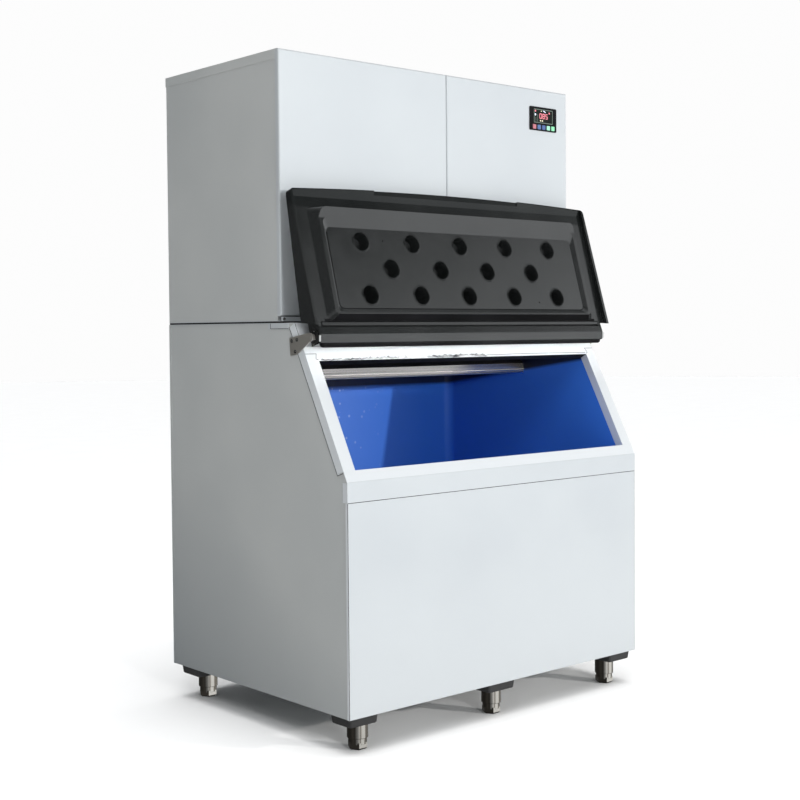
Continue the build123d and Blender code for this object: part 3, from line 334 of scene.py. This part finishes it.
def lid_skin(name, low, high, rough, ior, painted_dim_tint):
    """Black moulding, with painted shade along its free edge: its reflections dimmed beyond the border."""
    surface = Surface(name)
    surface.ior(ior)
    surface.soften_edges(0.0015)
    surface.paint(surface.mottle(surface.noise(6, detail=4.0), low, high))
    # Painted shade: weaker reflections beyond the border, towards the free edge
    border = surface.fade(lid_along, start=lid_border, end=lid_border + 0.006)
    surface.join(surface.mix(border, (1.0, 1.0, 1.0), painted_dim_tint), surface.shader.inputs["Specular Tint"])
    surface.roughness(surface.noise(14, detail=4.0), rough - 0.05, rough + 0.07)
    surface.bump(surface.noise(900, detail=2.0), strength=0.02, distance=0.0003)
    return surface.material


def glow(name, low, high, strength):
    """A lit sign, with an even emission and a little mottle."""
    surface = Surface(name)
    surface.paint(surface.mottle(surface.noise(300), low, high))
    surface.roughness(surface.noise(200), 0.4, 0.5)
    surface.shader.inputs["Emission Color"].default_value = (*high, 1)
    surface.shader.inputs["Emission Strength"].default_value = strength
    return surface.material


def sealant(name, stops):
    """Smeared putty, dark and silvery by turns."""
    surface = Surface(name, metallic=0.3)
    surface.paint(surface.ramp(surface.noise(60, stretch=(0.3, 1, 1), detail=6.0), stops))
    surface.roughness(surface.noise(90), 0.3, 0.5)
    surface.bump(surface.noise(160, detail=4.0), strength=0.5, distance=0.001)
    return surface.material


key_cap = partial(moulded, rough=0.3, edge=0.003, ior=1.25)
recipes = {
    "side_steel": partial(
        sheet_steel,
        low=(0.50, 0.52, 0.52),
        high=(0.56, 0.575, 0.57),
        metallic=0.35,
        rough=0.30,
        grain=(1, 1, 0.05),
        # Painted shade towards the bottom rear
        shade=(0.32, 0.345, 0.36),
    ),
    "front_steel": partial(
        sheet_steel,
        low=(0.505, 0.535, 0.56),
        high=(0.545, 0.575, 0.595),
        metallic=0.35,
        rough=0.30,
        grain=(0.05, 1, 1),
        waviness=0.08,
        # Painted light on the slope
        slope=(0.68, 0.71, 0.735),
        # Painted light near the foot
        foot=(0.575, 0.605, 0.625),
    ),
    "liner_blue": partial(
        liner,
        # Painted light to the left, painted shade to the right
        left=(0.150, 0.310, 0.86),
        right=(0.034, 0.160, 0.64),
        # Painted glints on the drops of water
        drop_glint=(0.85, 0.90, 1.0),
        # Painted shadow above the sloping line
        dark=(0.004, 0.009, 0.030),
    ),
    "foam": partial(
        moulded,
        low=(0.72, 0.62, 0.38),
        high=(0.82, 0.74, 0.50),
        rough=0.8,
        grain_scale=300,
        grain=0.5,
    ),
    "baffle_steel": partial(
        baffle,
        low=(0.70, 0.66, 0.62),
        high=(0.92, 0.88, 0.84),
        # Painted shade above the fold
        painted_fold_shade=(0.012, 0.013, 0.018),
    ),
    "lid_black": partial(
        lid_skin,
        low=(0.006, 0.007, 0.007),
        high=(0.010, 0.011, 0.011),
        rough=0.18,
        ior=1.92,
        # Painted shade along the free edge
        painted_dim_tint=(0.28, 0.29, 0.29),
    ),
    "hinge_black": partial(moulded, low=(0.010, 0.010, 0.010), high=(0.02, 0.02, 0.02), rough=0.4),
    "bracket_steel": partial(
        sheet_steel,
        low=(0.44, 0.42, 0.38),
        high=(0.52, 0.50, 0.46),
        metallic=0.8,
        rough=0.35,
    ),
    "screw_steel": partial(plated, low=(0.40, 0.39, 0.37), high=(0.60, 0.58, 0.55), rough=0.2),
    "leg_plate_grey": partial(moulded, low=(0.024, 0.024, 0.024), high=(0.040, 0.040, 0.041), rough=0.5),
    "leg_nickel": partial(
        cast_nickel,
        low=(0.19, 0.165, 0.135),
        high=(0.30, 0.265, 0.22),
        # Painted glints
        painted_glint=(0.95, 0.90, 0.82),
    ),
    "drain_plastic": partial(moulded, low=(0.70, 0.71, 0.71), high=(0.80, 0.81, 0.81), rough=0.4),
    "gasket_rubber": partial(moulded, low=(0.012, 0.012, 0.012), high=(0.025, 0.025, 0.025), rough=0.7),
    "bezel_black": partial(
        moulded,
        low=(0.005, 0.005, 0.006),
        high=(0.009, 0.009, 0.010),
        rough=0.3,
        ior=1.16,
    ),
    "screen_panel": partial(
        moulded,
        low=(0.006, 0.008, 0.007),
        high=(0.016, 0.020, 0.018),
        rough=0.2,
        ior=1.16,
    ),
    "key_red": partial(key_cap, low=(0.36, 0.13, 0.16), high=(0.46, 0.18, 0.21)),
    "key_blue": partial(key_cap, low=(0.07, 0.12, 0.25), high=(0.10, 0.16, 0.31)),
    "key_navy": partial(key_cap, low=(0.06, 0.10, 0.24), high=(0.09, 0.14, 0.30)),
    "key_mint": partial(key_cap, low=(0.27, 0.56, 0.42), high=(0.33, 0.66, 0.50)),
    "key_green": partial(key_cap, low=(0.20, 0.55, 0.32), high=(0.26, 0.64, 0.40)),
    "compressor_black": partial(
        moulded,
        low=(0.012, 0.012, 0.013),
        high=(0.02, 0.02, 0.022),
        rough=0.3,
        coat=0.3,
    ),
    "coil_aluminium": partial(plated, low=(0.66, 0.67, 0.68), high=(0.80, 0.81, 0.82), rough=0.35),
    "nickel_plate": partial(plated, low=(0.58, 0.56, 0.52), high=(0.72, 0.70, 0.66), rough=0.3),
    "shroud_steel": partial(plated, low=(0.50, 0.52, 0.53), high=(0.66, 0.68, 0.69), rough=0.4, scale=25),
    "fan_grey": partial(plated, low=(0.50, 0.50, 0.50), high=(0.62, 0.62, 0.62), rough=0.4),
    "line_copper": partial(plated, low=(0.62, 0.28, 0.15), high=(0.76, 0.40, 0.24), rough=0.3),
    "valve_brass": partial(plated, low=(0.62, 0.46, 0.20), high=(0.74, 0.58, 0.28), rough=0.3),
    "board_green": partial(moulded, low=(0.02, 0.14, 0.06), high=(0.04, 0.22, 0.09), rough=0.5),
}
looks = {name: recipe(name) for name, recipe in recipes.items()}

# Looks that only pieces of this script wear
lit = {
    "pink": glow("sign_pink", (0.50, 0.14, 0.17), (0.60, 0.18, 0.22), 0.40),
    "white": glow("sign_white", (0.50, 0.56, 0.70), (0.62, 0.66, 0.82), 0.45),
    "amber": glow("sign_amber", (0.45, 0.42, 0.30), (0.56, 0.52, 0.38), 0.35),
    "frame": glow("sign_frame", (0.06, 0.08, 0.065), (0.10, 0.13, 0.11), 0.4),
}
putty_stops = [(0.40, (0.03, 0.03, 0.035)), (0.50, (0.30, 0.31, 0.32)), (0.62, (0.66, 0.67, 0.68))]
putty = sealant("sealant", putty_stops)
face_metal = brushed("face_metal", (0.35, 0.335, 0.325), (0.56, 0.535, 0.52))
hem_metal = plated("hem_metal", (0.86, 0.84, 0.82), (0.97, 0.96, 0.95), 0.35, scale=30)
bright_cap = plated("bright_cap", (0.80, 0.80, 0.78), (0.92, 0.92, 0.90), 0.3)
# Near-black look for the sheets, lines and rings that stand for shade
painted_shade_black = moulded("painted_shade_black", (0.004, 0.004, 0.004), (0.009, 0.009, 0.010), 0.5, ior=1.14)

slots = {part["node"]: part["material_slot"] for part in frame["record"]["subparts"]}
for name, node in nodes.items():
    look = looks[slots[name]]
    if not node.data.materials:
        node.data.materials.append(look)
    for index in range(len(node.material_slots)):
        node.material_slots[index].material = look

# Seams, seals and small fittings, each built in mesh code
lean = math.atan2(slope_rise, slope_run)
slope_normal = (0, -math.sin(lean), math.cos(lean))
bead_profile = ((-0.5, -0.2), (-0.5, 0.3), (-0.3, 0.8), (0, 1), (0.3, 0.8), (0.5, 0.3), (0.5, -0.2))


def on_slope(x, up, out=0.0):
    """A point of the bin's slope, up it from its foot and out from its face."""
    return (
        x,
        bin_front + up * math.cos(lean) - out * math.sin(lean),
        slope_foot + up * math.sin(lean) + out * math.cos(lean),
    )


def on_lid(x, along, out):
    """A point of the lid, along it from its hinge pin and out from it."""
    return lid_pivot + along * lid_along + out * lid_out + Vector((x, 0, 0))


def spokes(out, count):
    """Directions all round an axis."""
    side = out.orthogonal().normalized()
    other = out.cross(side)
    turns = [math.tau * step / count for step in range(count)]
    return [side * math.cos(turn) + other * math.sin(turn) for turn in turns]


def band(mesh, first, second):
    """Faces all round between two closed rings of vertices."""
    for index in range(len(first)):
        mesh.faces.new((first[index], first[index - 1], second[index - 1], second[index]))


def loft(mesh, rings, capped=True):
    """A skin over closed rings of points."""
    rings = [[mesh.verts.new(point) for point in ring] for ring in rings]
    for first, second in zip(rings, rings[1:]):
        band(mesh, first, second)
    if capped:
        mesh.faces.new(rings[0])
        mesh.faces.new(rings[-1])


def add_bead(mesh, path, out, width, height):
    """A rounded bead that follows a line on a face."""
    points = [Vector(point) for point in path]
    out = Vector(out).normalized()
    runs = [(end - start).normalized() for start, end in zip(points, points[1:])]
    rings = []
    for index, point in enumerate(points):
        come = runs[max(index - 1, 0)]
        go = runs[min(index, len(runs) - 1)]
        across = (come + go).normalized().cross(out).normalized()
        reach = width / max(0.5, across.dot(come.cross(out).normalized()))
        rings.append([point + across * reach * a + out * height * b for a, b in bead_profile])
    loft(mesh, rings)


def add_button(mesh, centre, out, radius, height, slotted=False):
    """A domed screw head or a round lamp."""
    out = Vector(out).normalized()
    dome = ((1.0, -0.3), (1.0, 0.35), (0.86, 0.75), (0.55, 1.0), (0.3, 1.0), (0.24, 0.7 if slotted else 1.0))
    around = spokes(out, 20)
    rings = []
    for share, rise in dome:
        middle = Vector(centre) + out * height * rise
        rings.append([middle + spoke * radius * share for spoke in around])
    loft(mesh, rings)


def add_ring(mesh, centre, out, radius, thickness):
    """A thin washer or a drawn ring."""
    out = Vector(out).normalized()
    hoops = []
    for spoke in spokes(out, 28):
        rim = Vector(centre) + spoke * radius
        points = [rim + spoke * thickness * a + out * thickness * b for a, b in bead_profile]
        hoops.append([mesh.verts.new(point) for point in points])
    for index in range(len(hoops)):
        band(mesh, hoops[index - 1], hoops[index])


def add_plate(mesh, outline, out, thickness):
    """A thin flat plate on the outline, sunk a little into the face below."""
    out = Vector(out).normalized()
    loft(mesh, [[Vector(point) + out * level for point in outline] for level in (-0.0002, thickness)])


def strip(first, second):
    """Corners of a strip across the part, between two edges given as half length and place."""
    (near, *near_place), (far, *far_place) = first, second
    return [(-near, *near_place), (near, *near_place), (far, *far_place), (-far, *far_place)]


def add_lid_plate(mesh, outline, out, thickness):
    add_plate(mesh, [on_lid(*corner) for corner in outline], out, thickness)


def piece(name, mesh, body, slot, look=None):
    bmesh.ops.recalc_face_normals(mesh, faces=mesh.faces)
    data = bpy.data.meshes.new(name)
    mesh.to_mesh(data)
    mesh.free()
    data.materials.append(look or looks[slot])
    thing = bpy.data.objects.new(name, data)
    scene.collection.objects.link(thing)
    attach(thing, body)
    return thing


# Seam lines of the side sheets, the flanges, the corners and the base strip
side_sheet = 0.6087
flange_step = -0.0292
corner_front = bin_front + 0.001
sheet_foot, sheet_head, sill_foot, sill_head = 0.106, 0.699, 0.702, 0.752
strip_front, strip_top, screw_height = -0.154, 1.2114, 1.2038
for hand, side in (("left", -1), ("right", 1)):
    outward = (side, 0, 0)
    cornerwise = (side, -0.6, 0)
    flange = side * half_width
    corner = side * (half_width - 0.001)
    sheet = side * side_sheet
    rail_end = [
        on_slope(side * 0.6098, 0.393),
        on_slope(side * 0.571, 0.393),
        on_slope(side * 0.577, 0.377),
        on_slope(side * 0.5685, 0.3735),
    ]
    flange_edge = [
        on_slope(flange, 0.030, -0.004),
        on_slope(flange, 0.034, flange_step),
        on_slope(flange, 0.494, flange_step),
    ]
    flange_tab = [(flange, -0.1035, 1.1905), (flange, -0.1035, 1.1757), (flange, -0.1905, 1.1757)]
    sheet_corner = [(corner, corner_front, sheet_foot), (corner, corner_front, sheet_head)]
    sill_corner = [(corner, corner_front, sill_foot), (corner, corner_front, sill_head)]
    sill_return = [(sheet, -0.427, sill_head), (sheet, -0.427, sill_foot)]
    rail_top = [on_slope(side * 0.6101, 0.452), on_slope(side * 0.6101, 0.490)]
    strip_end = [(sheet, -0.1525, 1.197), (sheet, -0.1525, 1.211)]
    lines = (
        (flange_edge, outward, 0.0014, 0.0009),
        (flange_tab, outward, 0.0013, 0.0008),
        (sheet_corner, cornerwise, 0.0030, 0.0006),
        (sill_corner, cornerwise, 0.0020, 0.0005),
        (sill_return, outward, 0.0011, 0.0005),
        (rail_top, outward, 0.0012, 0.0006),
        (rail_end, slope_normal, 0.0014, 0.0006),
        (strip_end, outward, 0.0022, 0.0008),
    )
    mesh = bmesh.new()
    for path, out, width, height in lines:
        add_bead(mesh, path, out, width, height)
    piece("seam_lines_" + hand, mesh, "root", "gasket_rubber")

seam_end, sill_seam = 0.6085, 0.6996
sill_line = [(-seam_end, bin_front, sill_seam), (seam_end, bin_front, sill_seam)]
strip_line = [(-seam_end, strip_front, strip_top), (seam_end, strip_front, strip_top)]
mesh = bmesh.new()
add_bead(mesh, sill_line, to_front, width=0.0016, height=0.0005)
add_bead(mesh, strip_line, to_front, width=0.0030, height=0.0008)
piece("seam_lines_front", mesh, "root", "gasket_rubber")

screws, rings = bmesh.new(), bmesh.new()
for x in (-0.598, 0.598):
    place = (x, strip_front, screw_height)
    add_button(screws, place, to_front, radius=0.0030, height=0.0018, slotted=True)
    add_ring(rings, place, to_front, radius=0.0040, thickness=0.0012)
piece("base_screws", screws, "root", "screw_steel")
piece("base_screw_rings", rings, "root", "gasket_rubber")

# Smeared sealant along the left of the mouth's upper edge, and a plain line along its right
seal_start, seal_length, seal_steps = -0.562, 0.660, 96
smear = []
for step in range(seal_steps + 1):
    share = step / seal_steps
    wander = 0.0016 * math.sin(step * 1.9) + 0.0011 * math.sin(step * 0.71 + 1.3)
    lower = 0.3716 + 0.3 * wander
    upper = 0.3755 + 0.0065 * share**0.7 + wander + 0.0014 * math.sin(step * 3.1)
    if step in (0, seal_steps):
        upper = lower + 0.002
    crown = 0.0011 + 0.0005 * math.sin(step * 2.3)
    x = seal_start + seal_length * share
    ring = ((upper, -0.0001), ((lower + upper) / 2, crown), (lower, -0.0001))
    smear.append([on_slope(x, up, out) for up, out in ring])
mesh = bmesh.new()
loft(mesh, smear, capped=False)
piece("mouth_sealant", mesh, "root", "gasket_rubber", putty)
mesh = bmesh.new()
line = [on_slope(0.098, 0.3765), on_slope(0.30, 0.3785), on_slope(0.566, 0.3770)]
add_bead(mesh, line, slope_normal, width=0.0014, height=0.0006)
piece("mouth_line", mesh, "root", "gasket_rubber")

# Black sheet under the lip of the top rail, painted shade
mesh = bmesh.new()
under_lip = strip((0.5684, -0.2757, 1.0837), (0.5684, -0.2524, 1.0718))
add_plate(mesh, under_lip, (0, -0.46, -0.89), thickness=0.0004)
piece("mouth_top_shade", mesh, "root", "gasket_rubber", painted_shade_black)

# Bright front face of the deflector, a black plate of painted shade on the fold above it, and the hem below
# it
deflector_end = 0.5660
face_profile = (
    (0.0195, 1.0302),
    (0.0130, 1.0175),
    (0.0120, 1.0185),
    (0.0120, 1.0500),
    (0.0132, 1.0510),
    (0.0132, 1.0300),
)
mesh = bmesh.new()
loft(mesh, [[(x, y, z) for y, z in face_profile] for x in (-deflector_end, -0.3, 0.0, 0.3, deflector_end)])
piece("deflector_face", mesh, "root", "baffle_steel", face_metal)
mesh = bmesh.new()
fold = strip((deflector_end, 0.0125, 1.0502), (deflector_end, 0.0428, 1.0760))
add_plate(mesh, fold, (0, -0.5, 0.87), thickness=0.0008)
piece("deflector_fold_shade", mesh, "root", "baffle_steel", painted_shade_black)
mesh = bmesh.new()
hem = [(-deflector_end, 0.0121, 1.0195), (deflector_end, 0.0121, 1.0195)]
add_bead(mesh, hem, to_front, width=0.0050, height=0.0018)
piece("deflector_hem", mesh, "root", "baffle_steel", hem_metal)

# The black lip along the lid's hinge end, a rubber lip that also stands for painted shade under the lid,
# drawn in towards a middle line at its ends
lip_profile = (
    (-0.0225, 0.004),
    (-0.0225, 0.0225),
    (-0.028, 0.0215),
    (-0.0325, 0.018),
    (-0.034, 0.013),
    (-0.032, 0.008),
)
lip_middle = Vector((-0.0225, 0.013))
lip_left = [(-0.592, 0.35), (-0.589, 0.85), (-0.583, 1.0)]
rings = []
for x, share in lip_left + [(-x, share) for x, share in reversed(lip_left)]:
    drawn = [lip_middle + (Vector(point) - lip_middle) * share for point in lip_profile]
    rings.append([on_lid(x, along, out) for along, out in drawn])
mesh = bmesh.new()
loft(mesh, rings)
piece("lid_end_shade_lip", mesh, "lid", "gasket_rubber", painted_shade_black)

# Black sheets of painted shade on the ring's lower flank and beside it
mesh = bmesh.new()
flank_out = -0.8 * lid_along + 0.6 * lid_out
flank = strip((0.5450, 0.0412, 0.0283), (0.5272, 0.0546, 0.0465))
land = strip((0.5440, 0.0382, 0.0280), (0.5440, 0.0408, 0.0280))
add_lid_plate(mesh, flank, flank_out, thickness=0.0002)
add_lid_plate(mesh, land, lid_out, thickness=0.0004)
for side in (-1, 1):
    beside = (
        (side * 0.5440, 0.0382, 0.0280),
        (side * 0.5840, 0.0382, 0.0273),
        (side * 0.5840, 0.0455, 0.0273),
        (side * 0.5470, 0.0455, 0.0280),
    )
    add_lid_plate(mesh, beside, lid_out, thickness=0.0004)
piece("lid_ring_shade", mesh, "lid", "gasket_rubber", painted_shade_black)

# Black line of painted shade in the crease round the recess, and black dots of painted shade at its two
# vents
mesh = bmesh.new()
recess_left = [(-0.5165, 0.300), (-0.5175, 0.090), (-0.5150, 0.080), (-0.5090, 0.0745), (-0.5000, 0.0730)]
recess = recess_left + [(-x, along) for x, along in reversed(recess_left)]
add_bead(mesh, [on_lid(x, along, 0.0390) for x, along in recess], lid_out, width=0.0022, height=0.0005)
for x, along in ((-0.3127, 0.2801), (0.3094, 0.0974)):
    add_button(mesh, on_lid(x, along, 0.0389), lid_out, radius=0.0026, height=0.0005)
piece("lid_crease_shade", mesh, "lid", "gasket_rubber", painted_shade_black)

# Rolled lip of the ring and rims of the dimples
mesh = bmesh.new()
ring_lip = [on_lid(-0.5270, 0.0556, 0.0469), on_lid(0.5270, 0.0556, 0.0469)]
add_bead(mesh, ring_lip, lid_out, width=0.0030, height=0.0010)
dimple_pitch, rim_radius, rim_face = 0.1985, 0.0298, 0.0404
for columns, along in ((5, 0.1142), (4, 0.1934), (5, 0.2749)):
    for column in range(columns):
        x = (column - (columns - 1) / 2) * dimple_pitch
        add_ring(mesh, on_lid(x, along, rim_face), lid_out, rim_radius, thickness=0.0017)
piece("lid_rims", mesh, "lid", "lid_black")

# The bright end caps of the hinge with small screws beside them, and black rings of painted shade round the
# bracket's screws
caps, rings = bmesh.new(), bmesh.new()
for side in (-1, 1):
    cap = (
        (side * 0.6036, -0.0195, 0.0247),
        (side * 0.5975, -0.0195, 0.0247),
        (side * 0.5975, -0.0025, 0.0302),
        (side * 0.6036, -0.0025, 0.0302),
    )
    add_lid_plate(caps, cap, lid_out, thickness=0.0008)
    for y, z in ((-0.2965, 1.1669), (-0.3007, 1.1451)):
        add_button(caps, (side * 0.6012, y, z), (side, 0, 0), radius=0.0019, height=0.0009)
    for y, z in ((-0.2088, 1.1405), (-0.2239, 1.1105), (-0.2326, 1.1440)):
        add_ring(rings, (side * 0.6131, y, z), (side, 0, 0), radius=0.0049, thickness=0.0011)
piece("lid_hinge_caps", caps, "lid", "screw_steel", bright_cap)
piece("bracket_screw_shade_rings", rings, "root", "hinge_black", painted_shade_black)

# Leg plates: drafted trays with rounded corners, near the cabinet's faces
tray_columns = ((-0.605, -0.503), (-0.070, 0.042), (0.484, 0.586))
tray_rows = ((-0.4450, -0.3560), (0.306, 0.4080))
tray_layers = ((0.1050, 0.0), (0.0835, 0.0022), (0.0810, 0.0036), (0.0803, 0.0060))
tray_corner = 0.007
corner_spokes = []
for corner_x, corner_y in ((1, 1), (-1, 1), (-1, -1), (1, -1)):
    for step in range(5):
        turn = math.atan2(corner_y, corner_x) - math.pi / 4 + math.pi / 8 * step
        spoke_x, spoke_y = tray_corner * math.cos(turn), tray_corner * math.sin(turn)
        corner_spokes.append((corner_x, corner_y, spoke_x, spoke_y))
mesh = bmesh.new()
for x_low, x_high in tray_columns:
    for y_low, y_high in tray_rows:
        x, y = (x_low + x_high) / 2, (y_low + y_high) / 2
        rings = []
        for z, draft in tray_layers:
            reach_x = (x_high - x_low) / 2 - tray_corner - draft
            reach_y = (y_high - y_low) / 2 - tray_corner - draft
            rings.append(
                [
                    (x + corner_x * reach_x + spoke_x, y + corner_y * reach_y + spoke_y, z)
                    for corner_x, corner_y, spoke_x, spoke_y in corner_spokes
                ]
            )
        loft(mesh, rings)
leg_trays = piece("leg_trays", mesh, "root", "leg_plate_grey")
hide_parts("leg_plates")

# Signs on the screen: a frame, three digits and small lamps, all generic
screen_left, screen_front, screen_foot = 0.4455, -0.1560, 1.861


def on_glass(across, height):
    """A point of the screen, in millimetres from its lower left corner."""
    return (screen_left + across / 1000, screen_front, screen_foot + height / 1000)


def add_stroke(mesh, start, end, width, height=0.0003):
    add_bead(mesh, [on_glass(*start), on_glass(*end)], to_front, width, height)


def add_lamp(mesh, across, height, radius):
    add_button(mesh, on_glass(across, height), to_front, radius, 0.0004)


mesh = bmesh.new()
outline = [(2, 2), (92, 2), (92, 46), (2, 46)]
for start, end in zip(outline, outline[1:] + outline[:1]):
    add_stroke(mesh, start, end, 0.0026)
add_stroke(mesh, (19, 4), (19, 30), 0.0020)
add_stroke(mesh, (10, 4), (10, 20), 0.0020)
piece("screen_frame", mesh, "root", "screen_panel", lit["frame"])

digit_foot, wide, half_tall, tall = 17, 9, 7.5, 15
segments = {
    "a": ((0, tall), (wide, tall)),
    "b": ((wide, tall), (wide, half_tall)),
    "c": ((wide, half_tall), (wide, 0)),
    "d": ((wide, 0), (0, 0)),
    "e": ((0, 0), (0, half_tall)),
    "f": ((0, half_tall), (0, tall)),
    "g": ((0, half_tall), (wide, half_tall)),
}
mesh = bmesh.new()
for digit_left, strokes in ((29, "abcdef"), (43.5, "abcdefg"), (58, "acdfg")):
    for stroke in strokes:
        start, end = ((digit_left + across, digit_foot + height) for across, height in segments[stroke])
        add_stroke(mesh, start, end, 0.0030, 0.0004)
for across, height in ((8, 40), (76, 37)):
    add_lamp(mesh, across, height, 0.0034)
piece("screen_digits", mesh, "root", "screen_panel", lit["pink"])
mesh = bmesh.new()
add_lamp(mesh, 8, 28, 0.0036)
add_stroke(mesh, (47, 43), (58, 38), 0.0030)
piece("screen_lamps_white", mesh, "root", "screen_panel", lit["white"])
mesh = bmesh.new()
for across, height, radius in ((33, 9, 0.0030), (42, 9, 0.0030), (37, 41, 0.0022)):
    add_lamp(mesh, across, height, radius)
piece("screen_lamps_amber", mesh, "root", "screen_panel", lit["amber"])

# Camera, fitted to the photograph: angles in radians, picture measures in pixels
azimuth, elevation, roll = 0.7173382645, -0.0360915385, -0.0081753795
camera_x, camera_y, camera_z = -2.91864, -3.29729, 1.16514
picture, focal, centre_across, centre_down = 800, 1358.219, 395.642, 380.490
look_along = Vector(
    (
        math.sin(azimuth) * math.cos(elevation),
        math.cos(azimuth) * math.cos(elevation),
        math.sin(elevation),
    )
)
level_right = look_along.cross(Vector(to_top)).normalized()
level_up = level_right.cross(look_along)
right = math.cos(roll) * level_right + math.sin(roll) * level_up
up = -math.sin(roll) * level_right + math.cos(roll) * level_up
camera_data = bpy.data.cameras.new("camera")
camera_data.sensor_width = 36.0
camera_data.lens = focal / picture * camera_data.sensor_width
camera_data.shift_x = (picture / 2 - centre_across) / picture
camera_data.shift_y = (centre_down - picture / 2) / picture
camera_data.clip_end = 100
camera = bpy.data.objects.new("camera", camera_data)
camera.matrix_world = Matrix(
    (
        (right.x, up.x, -look_along.x, camera_x),
        (right.y, up.y, -look_along.y, camera_y),
        (right.z, up.z, -look_along.z, camera_z),
        (0, 0, 0, 1),
    )
)
scene.collection.objects.link(camera)
scene.camera = camera

# Floor, just under the feet
floor_radius, floor_gap = 30, 0.0002
floor_mesh = bpy.data.meshes.new("floor")
mesh = bmesh.new()
bmesh.ops.create_circle(mesh, cap_ends=True, radius=floor_radius, segments=96)
mesh.to_mesh(floor_mesh)
mesh.free()
floor = bpy.data.objects.new("floor", floor_mesh)
floor.location = (0, 0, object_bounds()[0][2] - floor_gap)
floor_look = Surface("floor_pale")
floor_clouds = floor_look.noise(3, detail=2.0)
floor_look.paint(floor_look.mottle(floor_clouds, low=(0.94, 0.94, 0.94), high=(0.96, 0.96, 0.96)))
floor_look.roughness(floor_look.noise(8), 0.75, 0.85)
floor_mesh.materials.append(floor_look.material)
floor.visible_glossy = False
scene.collection.objects.link(floor)

# World: a plain studio, bright low at the front right, dim behind on the left, and pale to the camera
world = bpy.data.worlds.new("studio")
world.use_nodes = True
scene.world = world
sky = Graph(world.node_tree)
direction = sky.node("TexCoord").outputs["Generated"]


def facing(towards, stops):
    """A grey that follows the cosine of the angle to a direction, from -1 to 1."""
    cosine = sky.along(direction, Vector(towards).normalized())
    greys = [((level + 1) / 2, (grey * 0.985, grey, grey * 1.01)) for level, grey in stops]
    return sky.ramp(sky.remap(cosine, -1, 1), greys)


bright_side = (0.66, -0.75, 0)
low_behind = [(-1, 0.10), (-0.3, 0.12), (-0.1, 0.22), (0.05, 0.26)]
high_behind = [(0.5, 0.2), (0.85, 0.5), (1, 1.0)]
low_before = [(-1, 0.10), (-0.42, 0.12), (-0.22, 0.72), (0.16, 1.0), (0.30, 0.95)]
high_before = [(0.40, 0.50), (0.46, 0.10), (0.60, 0.06), (0.75, 0.3), (1, 1.0)]
behind = facing(to_top, low_behind + high_behind)
before = facing(to_top, low_before + high_before)
mixed = sky.mix(facing(bright_side, [(-0.2, 0.0), (0.55, 1.0)]), behind, before)
dip = facing(bright_side, [(-0.93, 0.35), (-0.65, 0.8), (-0.3, 0.4), (0.25, 0.4), (0.6, 1.0)])
surround = sky.node("Background")
sky.join(sky.mix(1.0, mixed, dip, kind="MULTIPLY"), surround.inputs["Color"])
backdrop = sky.tree.nodes["Background"]
backdrop.inputs["Color"].default_value = (0.98, 0.98, 0.98, 1)
choose = sky.node("MixShader")
sky.join(sky.node("LightPath").outputs["Is Camera Ray"], choose.inputs["Fac"])
sky.join(surround.outputs["Background"], choose.inputs[1])
sky.join(backdrop.outputs["Background"], choose.inputs[2])
sky.join(choose.outputs["Shader"], sky.tree.nodes["World Output"].inputs["Surface"])


# Lights, none of them seen in reflections
def add_light(name, kind, energy, **settings):
    light = bpy.data.lights.new(name, kind)
    light.energy = energy
    for setting, value in settings.items():
        setattr(light, setting, value)
    lamp = bpy.data.objects.new(name, light)
    lamp.visible_glossy = False
    scene.collection.objects.link(lamp)
    return lamp


def soft_box(name, place, target, size, energy, **settings):
    width, height = size
    lamp = add_light(name, "AREA", energy, shape="RECTANGLE", size=width, size_y=height, **settings)
    lamp.location = place
    lamp.rotation_euler = (Vector(target) - Vector(place)).to_track_quat("-Z", "Y").to_euler()
    return lamp


bin_middle, left_side, rail_middle = (0, -0.35, 0.93), (-0.61, -0.2, 1.2), (0, 0, 1.112)
warm, cool = (1.0, 0.98, 0.95), (0.98, 1.0, 1.0)
soft_box("key", (2.81, -5.89, 1.87), bin_middle, size=(0.14, 0.14), energy=210, color=warm)
soft_box("fill", (-1.6, -4.7, 1.72), bin_middle, size=(0.5, 0.25), energy=64)
soft_box("left", (-3.3, -2.6, 3.6), left_side, size=(1.4, 1.4), energy=44, color=cool)
narrow = math.radians(12)
wash = soft_box("rail_wash", (0, -1.35, 1.10), rail_middle, size=(1.25, 0.05), energy=0.72, spread=narrow)
wash.visible_camera = False
add_light("overhead", "SUN", energy=2.7, angle=math.radians(50))

scene.view_settings.view_transform = "Standard"
scene.view_settings.look = "None"
